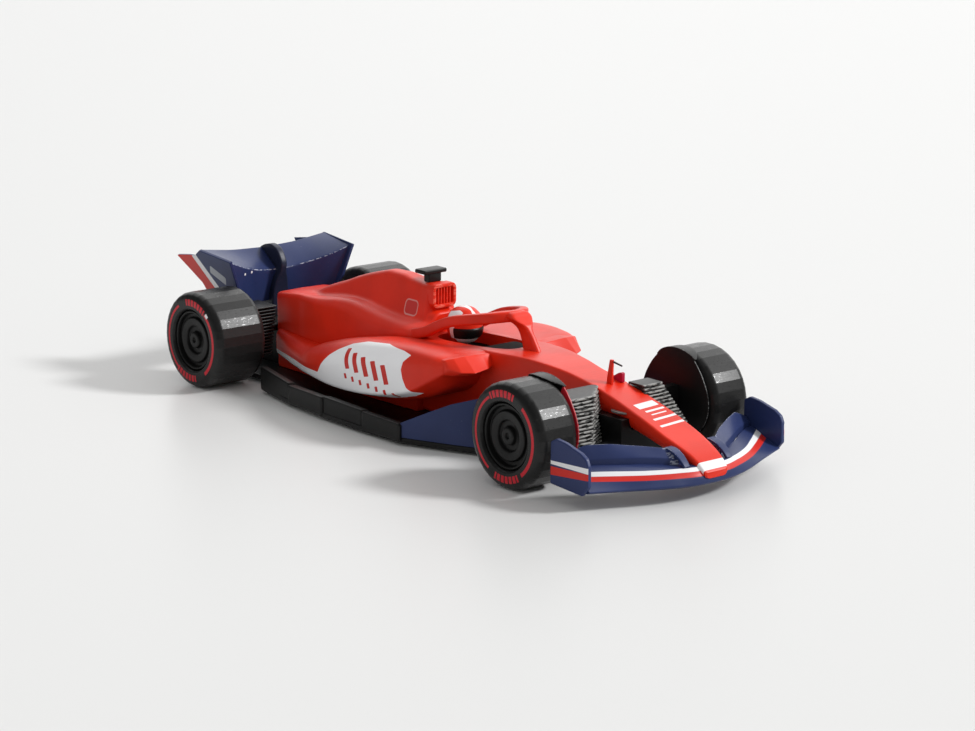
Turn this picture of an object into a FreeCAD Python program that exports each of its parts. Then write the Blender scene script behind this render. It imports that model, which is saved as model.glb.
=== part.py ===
"""Printed display model of an open wheel racing car, as a parametric FreeCAD document.

Frame: +X is forward, +Y is the car's left, +Z is up, and the origin lies on the ground under
the middle of the car. All sizes are millimetres of the model, which is a twentieth of the car.
"""
import FreeCAD, Part
import os

import Sketcher
from FreeCAD import Placement, Rotation, Vector

DOC = FreeCAD.newDocument("OpenWheelRacer")
SHEET = DOC.addObject("Spreadsheet::Sheet", "Sizes")

# ---------------------------------------------------------------------------------------------
# Driving dimensions
# ---------------------------------------------------------------------------------------------
SIZES = {
    "front_axle": 82.5,          # front axle ahead of the origin
    "wheelbase": 175.5,          # front axle to rear axle
    "wheel_radius": 18.0,        # outer radius of every tyre
    "wheel_sides": 32,           # every round part of a wheel is a prism of this many sides
    "front_track": 39.3,         # middle of a front tyre from the centreline
    "rear_track": 38.6,          # middle of a rear tyre from the centreline
    "front_tyre_width": 17.2,
    "rear_tyre_width": 22.4,
    "rim_radius": 11.5,          # seat of the tyre on its wheel
    "sidewall_land": 14.6,       # radius where the flat sidewall ends
    "shoulder_radius": 17.1,     # radius half way round the shoulder
    "shoulder_drop": 0.8,        # shoulder's half way point in from the sidewall
    "shoulder_width": 2.2,       # where the tread starts, in from the sidewall
    "rim_inset": 1.0,            # wheel cover set back from the sidewall
    "cover_radius": 6.2,         # round recess in the wheel cover
    "cover_depth": 1.4,
    "hub_radius": 3.1,
    "hub_proud": 0.9,            # hub boss above the recess floor
    "pin_radius": 1.6,
    "pin_clearance": 0.05,       # between a pin and its bore, on the radius
    "bore_roof": 2.6,            # material between the bore's end and the hub's outer face
    "pin_gap": 0.4,              # between the pin's end and the bore's end
    "dish_radius": 10.0,         # hollow behind the wheel cover
    "dish_floor": 4.2,           # wheel cover's thickness over the hollow
    "sleeve_radius": 3.4,        # hub sleeve round the pin
    "wheel_gap": 0.6,            # fixed parts to the inner face of a tyre

    "plank_bottom": 1.2,         # floor above the ground
    "plank_top": 3.0,
    "plank_tyre_gap": 2.6,       # floor's narrow tail to the rear tyres
    "edge_wall": 1.6,            # thickness of the floor's raised edge
    "cockpit_floor": 19.0,
    "cockpit_rim": 40.0,         # above the highest rim, where the cockpit's cut starts
    "seat_top": 28.3,
    "dash_top": 31.0,
    "dash_back": -68.0,          # rear edge of the dash from the front axle

    "helmet_ahead": -77.0,       # helmet's middle from the front axle
    "helmet_height": 35.0,
    "helmet_radius": 6.7,
    "helmet_sides": 24,
    "visor_proud": 0.4,
    "visor_low": 31.4,
    "visor_high": 35.8,
    "visor_back": 1.1,           # visor's rear edge ahead of the helmet's middle

    "intake_front": -87.4,
    "intake_length": 3.6,
    "intake_half": 5.0,
    "intake_low": 40.3,
    "intake_high": 49.2,
    "intake_corner": 1.6,
    "intake_frame": 1.4,
    "intake_depth": 1.8,
    "intake_rib": 0.5,
    "intake_ribs": 4,
    "intake_rib_set": 0.6,       # ribs behind the frame's face

    "camera_ahead": -96.0,
    "camera_stem_length": 6.0,
    "camera_stem_half": 1.5,
    "camera_stem_low": 46.5,
    "camera_bar_low": 50.6,
    "camera_bar_thick": 1.6,
    "camera_bar_length": 4.6,
    "camera_bar_half": 5.2,
    "camera_bar_sweep": 1.3,     # bar's tips are this much shorter at each end

    "probe_ahead": -2.3,
    "probe_length": 1.5,
    "probe_half": 0.5,
    "probe_low": 26.5,
    "probe_high": 36.6,
    "probe_arm": 5.4,
    "probe_arm_thick": 0.6,
    "sensor_ahead": -3.9,
    "sensor_aside": 4.6,
    "sensor_radius": 1.1,
    "sensor_tip": 0.4,
    "sensor_sides": 12,
    "sensor_height": 2.6,        # above the nose, and as far below its top

    "fairing_thick": 0.9,
    "winglet_reach": 4.6,        # winglet's reach over the tyre
    "slat_pitch": 1.2,
    "slat_thick": 0.7,
    "slat_count": 14,
    "slat_top": 28.6,            # upper face of the top slat
    "slat_back": -3.0,           # slats' rear edge from the axle
    "slat_front": 9.2,           # top slat's front edge from the axle
    "slat_root": 6.0,            # front slats' inner ends from the centreline, within the nose
    "slat_root_back": 9.6,       # and their front corners there, back from the front edge
    "slat_front_step": 0.4,      # each lower slat reaches this much further forward
    "slat_length": 13.6,         # top slat from its inner end to the fairing
    "slat_length_step": 0.46,    # each lower slat ends this much further out
    "rear_slat_length": 10.0,
    "duct_core": 3.6,            # half length of the core behind the slats

    "fin_low": 24.2,
    "fin_thick": 0.7,

    "front_block_half": 11.0,
    "front_block_low": 3.0,
    "front_block_back": -24.5,
    "front_block_front": 16.5,
    "front_block_high": 21.0,

    "rear_block_half": 9.0,
    "rear_block_back": -20.0,
    "rear_block_front": 2.0,
    "rear_block_high": 21.5,
    "diffuser_back": -31.0,
    "diffuser_half": 21.0,
    "diffuser_rise": 6.6,
    "diffuser_high": 11.5,
    "diffuser_channels": 5,
    "diffuser_strake": 1.4,      # wall between two channels
    "diffuser_roof": 1.6,        # material over a channel

    "endplate_inner": 43.2,
    "endplate_thick": 1.7,
    "wing_lip": 3.2,             # height of the front wing's blunt front face
    "wing_nose": 1.5,            # how far that face's edges are set back
    "wing_thick": 1.2,
    "wing_hollow": 8.0,          # lower face's kink behind the leading edge
    "flap_thick": 1.1,
    "rear_plate_gap": 3.1,       # endplate's inner face at its pivot, in from the tyre
    "rear_plate_pivot": 34.0,    # height at which that gap is measured
    "rear_plate_lean": 20.4,     # degrees outwards from upright
    "rear_plate_thick": 1.3,
    "rear_plate_beyond": 20.0,   # depth of what is trimmed off outside the endplates
    "rear_wing_thick": 1.6,
    "rear_wing_tail": 1.2,
    "pylon_half": 1.9,
    "halo_half_width": 1.5,
    "halo_half_depth": 1.5,
    "pillar_half": 1.0,
}

# Every table below gives half of a symmetric form; "ahead" is measured from the front axle and
# "behind" rows count back from the rear axle, so that each form follows the axle that it serves.
TABLES = {
    # nose and survival cell: the ridge is the upper edge, the belly the lower one
    "tub": (("ahead", "ridge", "crown", "waist", "waist_up", "belly", "low"), (
        (50.0, 5.0, 11.2, 5.2, 9.8, 4.6, 8.4),
        (42.5, 6.3, 14.9, 6.6, 12.8, 5.6, 10.6),
        (31.5, 7.4, 19.0, 7.7, 16.4, 6.4, 13.6),
        (21.5, 7.4, 22.4, 7.8, 19.2, 6.4, 16.2),
        (1.5, 6.9, 27.8, 7.6, 23.6, 6.4, 19.6),
        (-10.5, 7.0, 30.1, 8.2, 24.6, 7.0, 19.8),
        (-22.5, 8.6, 31.8, 9.6, 24.0, 8.6, 16.6),
        (-35.0, 10.6, 32.7, 11.2, 22.0, 9.6, 9.0),
        (-49.0, 12.4, 33.0, 12.8, 22.0, 10.0, 3.0),
        (-82.5, 13.0, 33.4, 13.4, 22.0, 10.0, 3.0),
        (-90.0, 12.6, 33.2, 13.4, 22.0, 10.0, 3.0),
    )),
    # engine cover: spine over two shoulders
    "cover": (("ahead", "spine", "crown", "neck", "neck_up", "shoulder", "shoulder_up",
               "flank", "flank_up"), (
        (-87.0, 3.8, 40.6, 6.2, 37.4, 10.8, 33.2, 13.6, 30.8),
        (-90.8, 4.4, 48.9, 6.4, 37.4, 10.8, 33.2, 14.0, 31.0),
        (-111.0, 3.2, 48.6, 6.6, 36.6, 11.0, 33.6, 14.6, 30.6),
        (56.0, 2.8, 48.0, 6.4, 36.4, 11.2, 34.6, 14.6, 31.0),
        (38.0, 2.3, 42.8, 5.6, 36.0, 11.4, 35.4, 13.8, 32.0),
        (20.0, 2.4, 36.8, 4.8, 33.8, 11.0, 33.4, 12.4, 29.0),
        (1.8, 2.6, 32.4, 4.6, 32.0, 10.0, 31.6, 10.8, 26.0),
    )),
    # side bodies beside the cockpit and the engine
    "pod": (("ahead", "inner", "ridge", "ridge_up", "side", "side_up", "lower", "lower_up",
             "foot", "foot_up"), (
        (-51.0, 9.8, 28.6, 31.6, 31.0, 29.4, 30.4, 26.4, 20.0, 25.6),
        (-56.0, 9.8, 30.0, 32.6, 33.0, 29.6, 32.2, 23.4, 25.4, 19.2),
        (-67.5, 9.8, 30.6, 33.2, 34.5, 29.0, 33.8, 17.2, 27.0, 13.8),
        (-92.0, 9.8, 29.0, 31.0, 34.7, 25.6, 33.6, 11.8, 28.0, 10.0),
        (-113.5, 6.0, 26.4, 26.8, 32.6, 20.6, 31.4, 10.0, 27.0, 8.6),
        (41.5, 6.0, 21.2, 20.8, 27.2, 16.2, 26.4, 9.4, 22.0, 8.0),
        (20.5, 6.0, 14.6, 17.2, 18.6, 13.8, 18.2, 8.0, 15.0, 7.2),
        (3.0, 6.0, 11.6, 18.4, 13.4, 16.0, 13.0, 9.0, 11.0, 7.6),
    )),
    # front lip of a side body, from the survival cell outwards
    "lip": (("out", "top", "top_up", "lead", "lead_up", "under", "under_up"), (
        (9.8, -48.9, 32.8, -49.2, 27.6, -51.6, 25.4),
        (23.3, -49.2, 32.0, -43.1, 27.1, -46.6, 25.8),
        (30.0, -50.0, 31.2, -49.0, 28.4, -51.4, 25.4),
    )),
    # raised edge along the floor
    "edge": (("ahead", "out", "high"), (
        (-63.5, 40.0, 8.2),
        (-84.4, 41.0, 8.2),
        (-88.0, 41.0, 8.6),
        (-108.4, 40.5, 10.4),
        (-115.5, 38.8, 8.8),
        (44.9, 38.6, 8.6),
        (22.3, 33.9, 8.6),
    )),
    # tall fence ahead of the floor, under the side body's front
    "fence": (("ahead", "out", "high"), (
        (-24.5, 18.0, 19.5),
        (-35.5, 27.6, 20.6),
        (-45.5, 32.4, 17.2),
        (-52.5, 35.4, 13.8),
        (-63.5, "=edge_1_out", "=edge_1_high"),
    )),
    # front wing, from the middle outwards
    "wing": (("out", "lead", "low", "tail", "tail_up"), (
        (0.0, 50.6, 5.0, 33.0, 10.4),
        (5.3, 48.9, 5.0, 32.0, 10.6),
        (25.5, 41.4, 5.0, 27.0, 11.4),
        ("=endplate_inner", 35.6, 5.0, 22.0, 11.6),
    )),
    # upper flap of the front wing
    "flap": (("out", "lead", "lead_up", "tail", "tail_up"), (
        (8.6, 43.0, 12.6, 38.0, 14.2),
        (14.0, 39.5, 12.4, 31.5, 17.0),
        (22.0, 36.6, 12.2, 27.6, 17.8),
        (31.0, 33.6, 12.6, 24.6, 17.6),
        ("=endplate_inner", 30.6, 12.4, 21.6, 14.4),
    )),
    # rear wing, from the middle outwards, past the endplates that trim it
    "rear_wing": (("out", "lead", "lead_up", "tail", "tail_up", "heel", "heel_up"), (
        (0.0, -12.5, 37.0, -22.4, 44.2, -14.5, 24.5),
        (14.0, -10.5, 38.6, -22.4, 44.7, -13.5, 25.0),
        (22.0, -7.0, 41.2, -22.4, 45.6, -10.5, 26.0),
        (31.0, -3.6, 45.4, -22.4, 46.8, -6.0, 28.0),
    )),
}

# Rows of these tables count from the rear axle from this number on
REAR_FROM = {"cover": 4, "pod": 6, "edge": 6, "rear_wing": 1}

# Outlines, as corners (ahead, up)
OUTLINES = {
    "endplate": ((19.4, 6.2), (34.5, 5.2), (37.4, 8.6), (37.2, 15.6), (36.2, 17.7),
                 (33.6, 19.2), (26.4, 21.1), (22.0, 21.6), (19.4, 20.2)),
    "fairing": ((-5.0, 36.4), (-0.7, 37.0), (5.0, 36.4), (10.1, 34.2), (13.6, 29.0),
                (15.6, 23.5), (16.2, 18.0), (15.4, 13.0), (11.0, 8.6), (-5.0, 8.6)),
    "winglet": ((10.5, 34.8), (5.2, 37.1), (-0.7, 37.7), (-5.2, 37.1), (-5.0, 36.2),
                (-0.7, 36.8), (4.9, 36.2), (10.0, 33.9)),
    "fin": ((10.0, 6.5), (16.0, 6.5), (19.0, 11.4), (16.4, 12.2)),
    "rear_plate": ((-39.7, 41.9), (-31.5, 43.2), (-27.5, 43.5), (-22.4, 46.6), (-3.2, 44.9),
                   (-4.0, 33.0), (-9.0, 23.5), (-24.0, 23.5), (-26.5, 29.2), (-27.8, 32.5),
                   (-33.0, 36.7)),
    "pylon": ((-23.8, 44.5), (-16.8, 46.6), (-13.0, 46.2), (-8.2, 40.2), (-9.4, 37.0),
              (-10.6, 20.6), (-15.2, 20.6), (-13.3, 36.6), (-22.0, 43.5)),
    "pillar": ((-51.0, 43.4), (-47.2, 45.6), (-45.0, 44.8), (-35.4, 31.0), (-43.8, 31.0),
               (-48.6, 40.8)),
    "cockpit": ((-46.0, 4.4), (-51.0, 7.4), (-60.0, 9.0), (-76.0, 9.4), (-82.0, 8.4),
                (-84.6, 5.0)),
}

# Hoop over the cockpit: middle of the bar from the car's side to its front
HALO = {"rows": (("ahead", "out", "up"), (
    (-90.0, 12.0, 31.0),
    (-82.5, 12.6, 33.4),
    (-77.0, 12.6, 36.2),
    (-69.5, 12.4, 39.4),
    (-61.0, 11.2, 41.6),
    (-53.6, 8.2, 43.2),
    (-49.4, 3.8, 44.0),
    (-48.2, 0.0, 44.2),
))}

# Helmet: height from its middle and radius, each as a share of the helmet's own radius
HELMET = ((-0.97, 0.30), (-0.72, 0.72), (-0.36, 0.94), (0.0, 1.0), (0.36, 0.94), (0.68, 0.73),
          (0.90, 0.42), (0.98, 0.14))


def fill_sheet():
    """Write every driving dimension to the sheet under its own alias."""
    named = dict(SIZES)
    for prefix, (columns, rows) in list(TABLES.items()) + [("halo", HALO["rows"])]:
        for index, values in enumerate(rows, start=1):
            for column, value in zip(columns, values):
                named[f"{prefix}_{index}_{column}"] = value
    for prefix, corners in OUTLINES.items():
        for index, (ahead, up) in enumerate(corners, start=1):
            named[f"{prefix}_{index}_ahead"] = ahead
            named[f"{prefix}_{index}_up"] = up
    for row, alias in enumerate(named, start=1):
        SHEET.set(f"A{row}", alias)
        SHEET.setAlias(f"B{row}", alias)
    for row, value in enumerate(named.values(), start=1):
        SHEET.set(f"B{row}", str(value))
    DOC.recompute()


def size(alias):
    """Return one dimension from the sheet."""
    return float(SHEET.get(alias))


def ref(alias):
    """Return the expression that names one cell of the sheet."""
    return f"Sizes.{alias}"


def station(alias, axle="front"):
    """Return the expression for a place measured from an axle."""
    return f"{axle_expression(axle)} + Sizes.{alias}"


def row_station(prefix, index, column="ahead"):
    """Return the expression for the place along the car in one row of a table."""
    axle = "rear" if index >= REAR_FROM.get(prefix, index + 1) else "front"
    return station(f"{prefix}_{index}_{column}", axle)


def axle_expression(axle):
    """Return the expression for the axle's place along the car."""
    if axle == "front":
        return "Sizes.front_axle"
    return "Sizes.front_axle - Sizes.wheelbase"


def rows_of(prefix):
    """Return a table as dictionaries of numbers read from the sheet."""
    columns, rows = HALO["rows"] if prefix == "halo" else TABLES[prefix]
    return [{column: size(f"{prefix}_{index}_{column}") for column in columns}
            for index in range(1, len(rows) + 1)]


# ---------------------------------------------------------------------------------------------
# Sketches and bodies
# ---------------------------------------------------------------------------------------------
def new_body(name):
    """Return an empty PartDesign body."""
    body = DOC.addObject("PartDesign::Body", name)
    body.Label = name
    return body


def origin_plane(body, role):
    """Return one of the body's own origin planes."""
    return next(item for item in body.Origin.OriginFeatures if item.Role == role)


def polygon_sketch(body, name, role, offset, corners):
    """Draw a closed polygon on an origin plane, its corners bound to sheet expressions."""
    sketch = body.newObject("Sketcher::SketchObject", name)
    sketch.AttachmentSupport = (origin_plane(body, role), "")
    sketch.MapMode = "FlatFace"
    sketch.setExpression("AttachmentOffset.Base.z", offset)
    points = [Vector(sketch.evalExpression(u), sketch.evalExpression(v), 0) for u, v in corners]
    count = len(points)
    for index in range(count):
        sketch.addGeometry(Part.LineSegment(points[index], points[(index + 1) % count]), False)
    for index in range(count):
        sketch.addConstraint(Sketcher.Constraint("Coincident", index, 2, (index + 1) % count, 1))
    for index, (u, v) in enumerate(corners):
        for kind, expression, value in (("X", u, points[index].x), ("Y", v, points[index].y)):
            number = sketch.addConstraint(
                Sketcher.Constraint("Distance" + kind, -1, 1, index, 1, value))
            sketch.setExpression(f"Constraints[{number}]", expression)
    return sketch


def pad(body, name, sketch, length, reverse=False, middle=False):
    """Pad a sketch by an expression."""
    feature = body.newObject("PartDesign::Pad", name)
    feature.Profile = sketch
    feature.setExpression("Length", length)
    feature.Reversed = reverse
    feature.Midplane = middle
    body.Tip = feature
    return feature


def slab(name, corners, low, thick):
    """Return a flat plate of an outline in plan, from a height up."""
    body = new_body(name)
    sketch = polygon_sketch(body, name + "_sketch", "XY_Plane", low, corners)
    pad(body, name + "_pad", sketch, thick)
    return body


def loft(body, name, sketches, straight=True):
    """Loft through a row of sketches, with straight or with flowing faces between them."""
    feature = body.newObject("PartDesign::AdditiveLoft", name)
    feature.Profile = sketches[0]
    feature.Sections = sketches[1:]
    feature.Ruled = straight
    body.Tip = feature
    return feature


def mirrored(source, name):
    """Return the piece's mirror image across the car's middle plane."""
    twin = DOC.addObject("Part::Mirroring", name)
    twin.Label = name
    twin.Source = source
    twin.Base = Vector(0, 0, 0)
    twin.Normal = Vector(0, 1, 0)
    return twin


def stacked(name, rings):
    """Return the solid that joins a stack of closed outlines with straight faces."""
    solid = DOC.addObject("Part::Loft", name)
    solid.Sections = rings
    solid.Solid = True
    solid.Ruled = True
    return solid


def cut(name, base, *tools):
    """Return the base with every tool taken off it, so that it seats on them face to face."""
    result = base
    for index, tool in enumerate(tools, start=1):
        step = DOC.addObject("Part::Cut", f"{name}_cut_{index}")
        step.Base = result
        step.Tool = tool
        result = step
    result.Label = name
    return result


def fused(name, *pieces):
    """Return one solid made of several pieces."""
    union = DOC.addObject("Part::MultiFuse", name + "_union")
    union.Shapes = list(pieces)
    union.Refine = True
    union.Label = name
    return union


def box(name, length, width, height, place):
    """Return a box whose sides and corner come from expressions."""
    solid = DOC.addObject("Part::Box", name)
    for prop, expression in zip(("Length", "Width", "Height"), (length, width, height)):
        solid.setExpression(prop, expression)
    for axis, expression in zip("xyz", place):
        solid.setExpression(f"Placement.Base.{axis}", expression)
    return solid


def pin(name, radius, length, place, direction):
    """Return a cylinder along Y from a place, both ways given by expressions."""
    solid = DOC.addObject("Part::Cylinder", name)
    solid.setExpression("Radius", radius)
    solid.setExpression("Height", length)
    solid.Placement = Placement(Vector(0, 0, 0), Rotation(Vector(1, 0, 0), -90 * direction))
    for axis, expression in zip("xyz", place):
        solid.setExpression(f"Placement.Base.{axis}", expression)
    return solid


def both_sides(half):
    """Close a half section (out, up) into corners on both sides of the middle plane."""
    return half + [(f"-({out})", up) for out, up in reversed(half)]


# ---------------------------------------------------------------------------------------------
# Central body
# ---------------------------------------------------------------------------------------------
def nose_and_tub():
    """Nose and survival cell in one lofted piece with the cockpit cut into it."""
    body = new_body("tub_blank")
    sketches = []
    for index in range(1, len(TABLES["tub"][1]) + 1):
        key = f"tub_{index}_"
        half = [(ref(key + "ridge"), ref(key + "crown")),
                (ref(key + "waist"), ref(key + "waist_up")),
                (ref(key + "belly"), ref(key + "low"))]
        sketches.append(polygon_sketch(body, f"tub_section_{index}", "YZ_Plane",
                                       row_station("tub", index), both_sides(half)))
    loft(body, "tub_loft", sketches)
    half = [(station(f"cockpit_{index}_ahead"), ref(f"cockpit_{index}_up"))
            for index in range(1, len(OUTLINES["cockpit"]) + 1)]
    ring = half + [(ahead, f"-({out})") for ahead, out in reversed(half)]
    sketch = polygon_sketch(body, "cockpit_sketch", "XY_Plane", ref("cockpit_rim"), ring)
    pocket = body.newObject("PartDesign::Pocket", "cockpit_pocket")
    pocket.Profile = sketch
    pocket.setExpression("Length", "Sizes.cockpit_rim - Sizes.cockpit_floor")
    body.Tip = pocket
    body.Label = "nose_and_tub"
    return body


def cockpit_insert():
    """Seat and dash that fill the lower part of the cockpit."""
    body = new_body("cockpit_insert")
    half = [(station(f"cockpit_{index}_ahead"), ref(f"cockpit_{index}_up"))
            for index in range(1, len(OUTLINES["cockpit"]) + 1)]
    ring = half + [(ahead, f"-({out})") for ahead, out in reversed(half)]
    sketch = polygon_sketch(body, "seat_sketch", "XY_Plane", ref("cockpit_floor"), ring)
    pad(body, "seat_pad", sketch, "Sizes.seat_top - Sizes.cockpit_floor")
    front = [(station("cockpit_1_ahead"), ref("cockpit_1_up")),
             (station("cockpit_2_ahead"), ref("cockpit_2_up")),
             (station("cockpit_3_ahead"), ref("cockpit_3_up")),
             (station("dash_back"), ref("cockpit_3_up"))]
    ring = front + [(ahead, f"-({out})") for ahead, out in reversed(front)]
    sketch = polygon_sketch(body, "dash_sketch", "XY_Plane", ref("seat_top"), ring)
    pad(body, "dash_pad", sketch, "Sizes.dash_top - Sizes.seat_top")
    return body


def engine_cover(tub, hoop):
    """Spine and shoulders behind the cockpit, down to the floor."""
    body = new_body("cover_blank")
    sketches = []
    for index in range(1, len(TABLES["cover"][1]) + 1):
        key = f"cover_{index}_"
        half = [(ref(key + "spine"), ref(key + "crown")),
                (ref(key + "neck"), ref(key + "neck_up")),
                (ref(key + "shoulder"), ref(key + "shoulder_up")),
                (ref(key + "flank"), ref(key + "flank_up")),
                (ref(key + "shoulder"), ref("plank_top"))]
        sketches.append(polygon_sketch(body, f"cover_section_{index}", "YZ_Plane",
                                       row_station("cover", index), both_sides(half)))
    loft(body, "cover_loft", sketches)
    return cut("engine_cover", body, tub, hoop)


def sidepod(tub, cover, hoop):
    """Right side body with its undercut front lip, seated on the central body."""
    body = new_body("pod_blank")
    sketches = []
    for index in range(1, len(TABLES["pod"][1]) + 1):
        key = f"pod_{index}_"
        corners = [(f"-({ref(key + 'inner')})", ref(key + "ridge_up")),
                   (f"-({ref(key + 'ridge')})", ref(key + "ridge_up")),
                   (f"-({ref(key + 'side')})", ref(key + "side_up")),
                   (f"-({ref(key + 'lower')})", ref(key + "lower_up")),
                   (f"-({ref(key + 'foot')})", ref(key + "foot_up")),
                   (f"-({ref(key + 'inner')})", ref(key + "foot_up"))]
        sketches.append(polygon_sketch(body, f"pod_section_{index}", "YZ_Plane",
                                       row_station("pod", index), corners))
    loft(body, "pod_loft", sketches)
    lip = new_body("pod_lip")
    back = row_station("pod", 2)
    sections = []
    for index in range(1, len(TABLES["lip"][1]) + 1):
        key = f"lip_{index}_"
        corners = [(back, ref(key + "top_up")), (row_station("lip", index, "top"), ref(key + "top_up")),
                   (row_station("lip", index, "lead"), ref(key + "lead_up")),
                   (row_station("lip", index, "under"), ref(key + "under_up")),
                   (back, ref(key + "under_up"))]
        sections.append(polygon_sketch(lip, f"lip_section_{index}", "XZ_Plane",
                                       ref(key + "out"), corners))
    loft(lip, "lip_loft", sections)
    return cut("sidepod_right", fused("pod_whole", body, lip), tub, cover, hoop)


def halo(tub):
    """Hoop over the cockpit and its front pillar, as straight lofted bars."""
    rows = rows_of("halo")
    axle = size("front_axle")
    wide = size("halo_half_width")
    deep = size("halo_half_depth")
    centres = [Vector(axle + row["ahead"], -row["out"], row["up"]) for row in rows]
    centres += [Vector(point.x, -point.y, point.z) for point in reversed(centres[:-1])]
    wires = []
    for index, centre in enumerate(centres):
        before = centres[max(index - 1, 0)]
        after = centres[min(index + 1, len(centres) - 1)]
        run = Vector(after.x - before.x, after.y - before.y, 0).normalize()
        across = Vector(-run.y, run.x, 0) * wide
        rise = Vector(0, 0, deep)
        corners = [centre + across + rise, centre - across + rise,
                   centre - across - rise, centre + across - rise]
        wires.append(Part.makePolygon(corners + corners[:1]))
    hoop = DOC.addObject("Part::Feature", "halo_hoop")
    hoop.Shape = Part.makeLoft(wires, True, True)
    pillar = plate("halo_pillar", "pillar", "-Sizes.pillar_half", "2 * Sizes.pillar_half")
    return cut("halo", fused("halo_whole", hoop, pillar), tub)


def air_intake(cover):
    """Frame on the front of the engine cover, with upright ribs in its mouth."""
    body = new_body("intake_frame_body")
    half = ref("intake_half")
    corner = ref("intake_corner")
    front = station("intake_front")
    ring = both_sides([(f"{half} - {corner}", ref("intake_high")),
                       (half, f"{ref('intake_high')} - {corner}"),
                       (half, f"{ref('intake_low')} + {corner}"),
                       (f"{half} - {corner}", ref("intake_low"))])
    sketch = polygon_sketch(body, "frame_sketch", "YZ_Plane", front, ring)
    pad(body, "frame_pad", sketch, "Sizes.intake_length", reverse=True)
    mouth = f"{half} - {ref('intake_frame')}"
    sill = f"{ref('intake_low')} + {ref('intake_frame')}"
    head = f"{ref('intake_high')} - {ref('intake_frame')}"
    sketch = polygon_sketch(body, "opening_sketch", "YZ_Plane", front,
                            both_sides([(mouth, head), (mouth, sill)]))
    pocket = body.newObject("PartDesign::Pocket", "opening_pocket")
    pocket.Profile = sketch
    pocket.setExpression("Length", ref("intake_depth"))
    body.Tip = pocket
    ribs = []
    for index in range(1, int(size("intake_ribs")) + 1):
        middle = f"({mouth}) * (2 * {index} / (Sizes.intake_ribs + 1) - 1)"
        ribs.append(box(f"intake_rib_{index}", "Sizes.intake_depth - Sizes.intake_rib_set",
                        ref("intake_rib"), f"({head}) - ({sill})",
                        (f"{front} - Sizes.intake_depth", f"{middle} - Sizes.intake_rib / 2",
                         sill)))
    return cut("air_intake", fused("intake_whole", body, *ribs), cover)


def roof_camera(cover):
    """Stem and swept cross bar on the roof."""
    middle = station("camera_ahead")
    stem = box("camera_stem", ref("camera_stem_length"), "2 * Sizes.camera_stem_half",
               "Sizes.camera_bar_low - Sizes.camera_stem_low",
               (f"{middle} - Sizes.camera_stem_length / 2",
                "-Sizes.camera_stem_half", ref("camera_stem_low")))
    bar = new_body("camera_bar")
    tip = "Sizes.camera_bar_length / 2"
    half = [(f"{middle} + {tip}", ref("camera_stem_half")),
            (f"{middle} + {tip} - Sizes.camera_bar_sweep", ref("camera_bar_half")),
            (f"{middle} - {tip} + Sizes.camera_bar_sweep", ref("camera_bar_half")),
            (f"{middle} - {tip}", ref("camera_stem_half"))]
    ring = half + [(ahead, f"-({out})") for ahead, out in reversed(half)]
    sketch = polygon_sketch(bar, "bar_sketch", "XY_Plane", ref("camera_bar_low"), ring)
    pad(bar, "bar_pad", sketch, "Sizes.camera_bar_thick")
    return cut("roof_camera", fused("camera_whole", stem, bar), cover)


def dome(name, radius):
    """Return a closed dome of many sides round the helmet's middle."""
    levels = []
    for index, (up, out) in enumerate(HELMET, start=1):
        level = DOC.addObject("Part::RegularPolygon", f"{name}_level_{index}")
        level.setExpression("Polygon", ref("helmet_sides"))
        level.setExpression("Circumradius", f"({radius}) * {out}")
        level.setExpression("Placement.Base.x", station("helmet_ahead"))
        level.setExpression("Placement.Base.z", f"Sizes.helmet_height + ({radius}) * {up}")
        levels.append(level)
    return stacked(name, levels)


def helmet(insert, cover):
    """Helmet that sits on the seat insert, with its visor as a proud band."""
    shell = cut("driver_helmet", dome("helmet_dome", ref("helmet_radius")), insert, cover)
    outer = dome("visor_dome", "Sizes.helmet_radius + Sizes.visor_proud")
    band = box("visor_band", "2 * Sizes.helmet_radius", "4 * Sizes.helmet_radius",
               "Sizes.visor_high - Sizes.visor_low",
               (f"{station('helmet_ahead')} + Sizes.visor_back", "-2 * Sizes.helmet_radius",
                ref("visor_low")))
    ring = DOC.addObject("Part::Common", "visor_ring")
    ring.Base = outer
    ring.Tool = band
    return shell, cut("helmet_visor", ring, shell)


def nose_probe(tub):
    """Upright probe with its forward arm on the nose."""
    place = station("probe_ahead")
    post = box("probe_post", ref("probe_length"), "2 * Sizes.probe_half",
               "Sizes.probe_high - Sizes.probe_low",
               (place, "-Sizes.probe_half", ref("probe_low")))
    arm = box("probe_arm_bar", "Sizes.probe_arm + Sizes.probe_length", "2 * Sizes.probe_half",
              ref("probe_arm_thick"),
              (place, "-Sizes.probe_half", "Sizes.probe_high - Sizes.probe_arm_thick"))
    return cut("nose_probe", fused("probe_whole", post, arm), tub)


def nose_sensor(tub):
    """Small cone on the left of the nose."""
    levels = []
    for name, radius, sign in (("foot", "sensor_radius", "-"), ("tip", "sensor_tip", "+")):
        level = DOC.addObject("Part::RegularPolygon", f"sensor_{name}")
        level.setExpression("Polygon", ref("sensor_sides"))
        level.setExpression("Circumradius", ref(radius))
        level.setExpression("Placement.Base.x", station("sensor_ahead"))
        level.setExpression("Placement.Base.y", ref("sensor_aside"))
        level.setExpression("Placement.Base.z",
                            f"{ref('tub_6_crown')} {sign} Sizes.sensor_height")
        levels.append(level)
    return cut("nose_sensor", stacked("sensor_cone", levels), tub)


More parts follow.
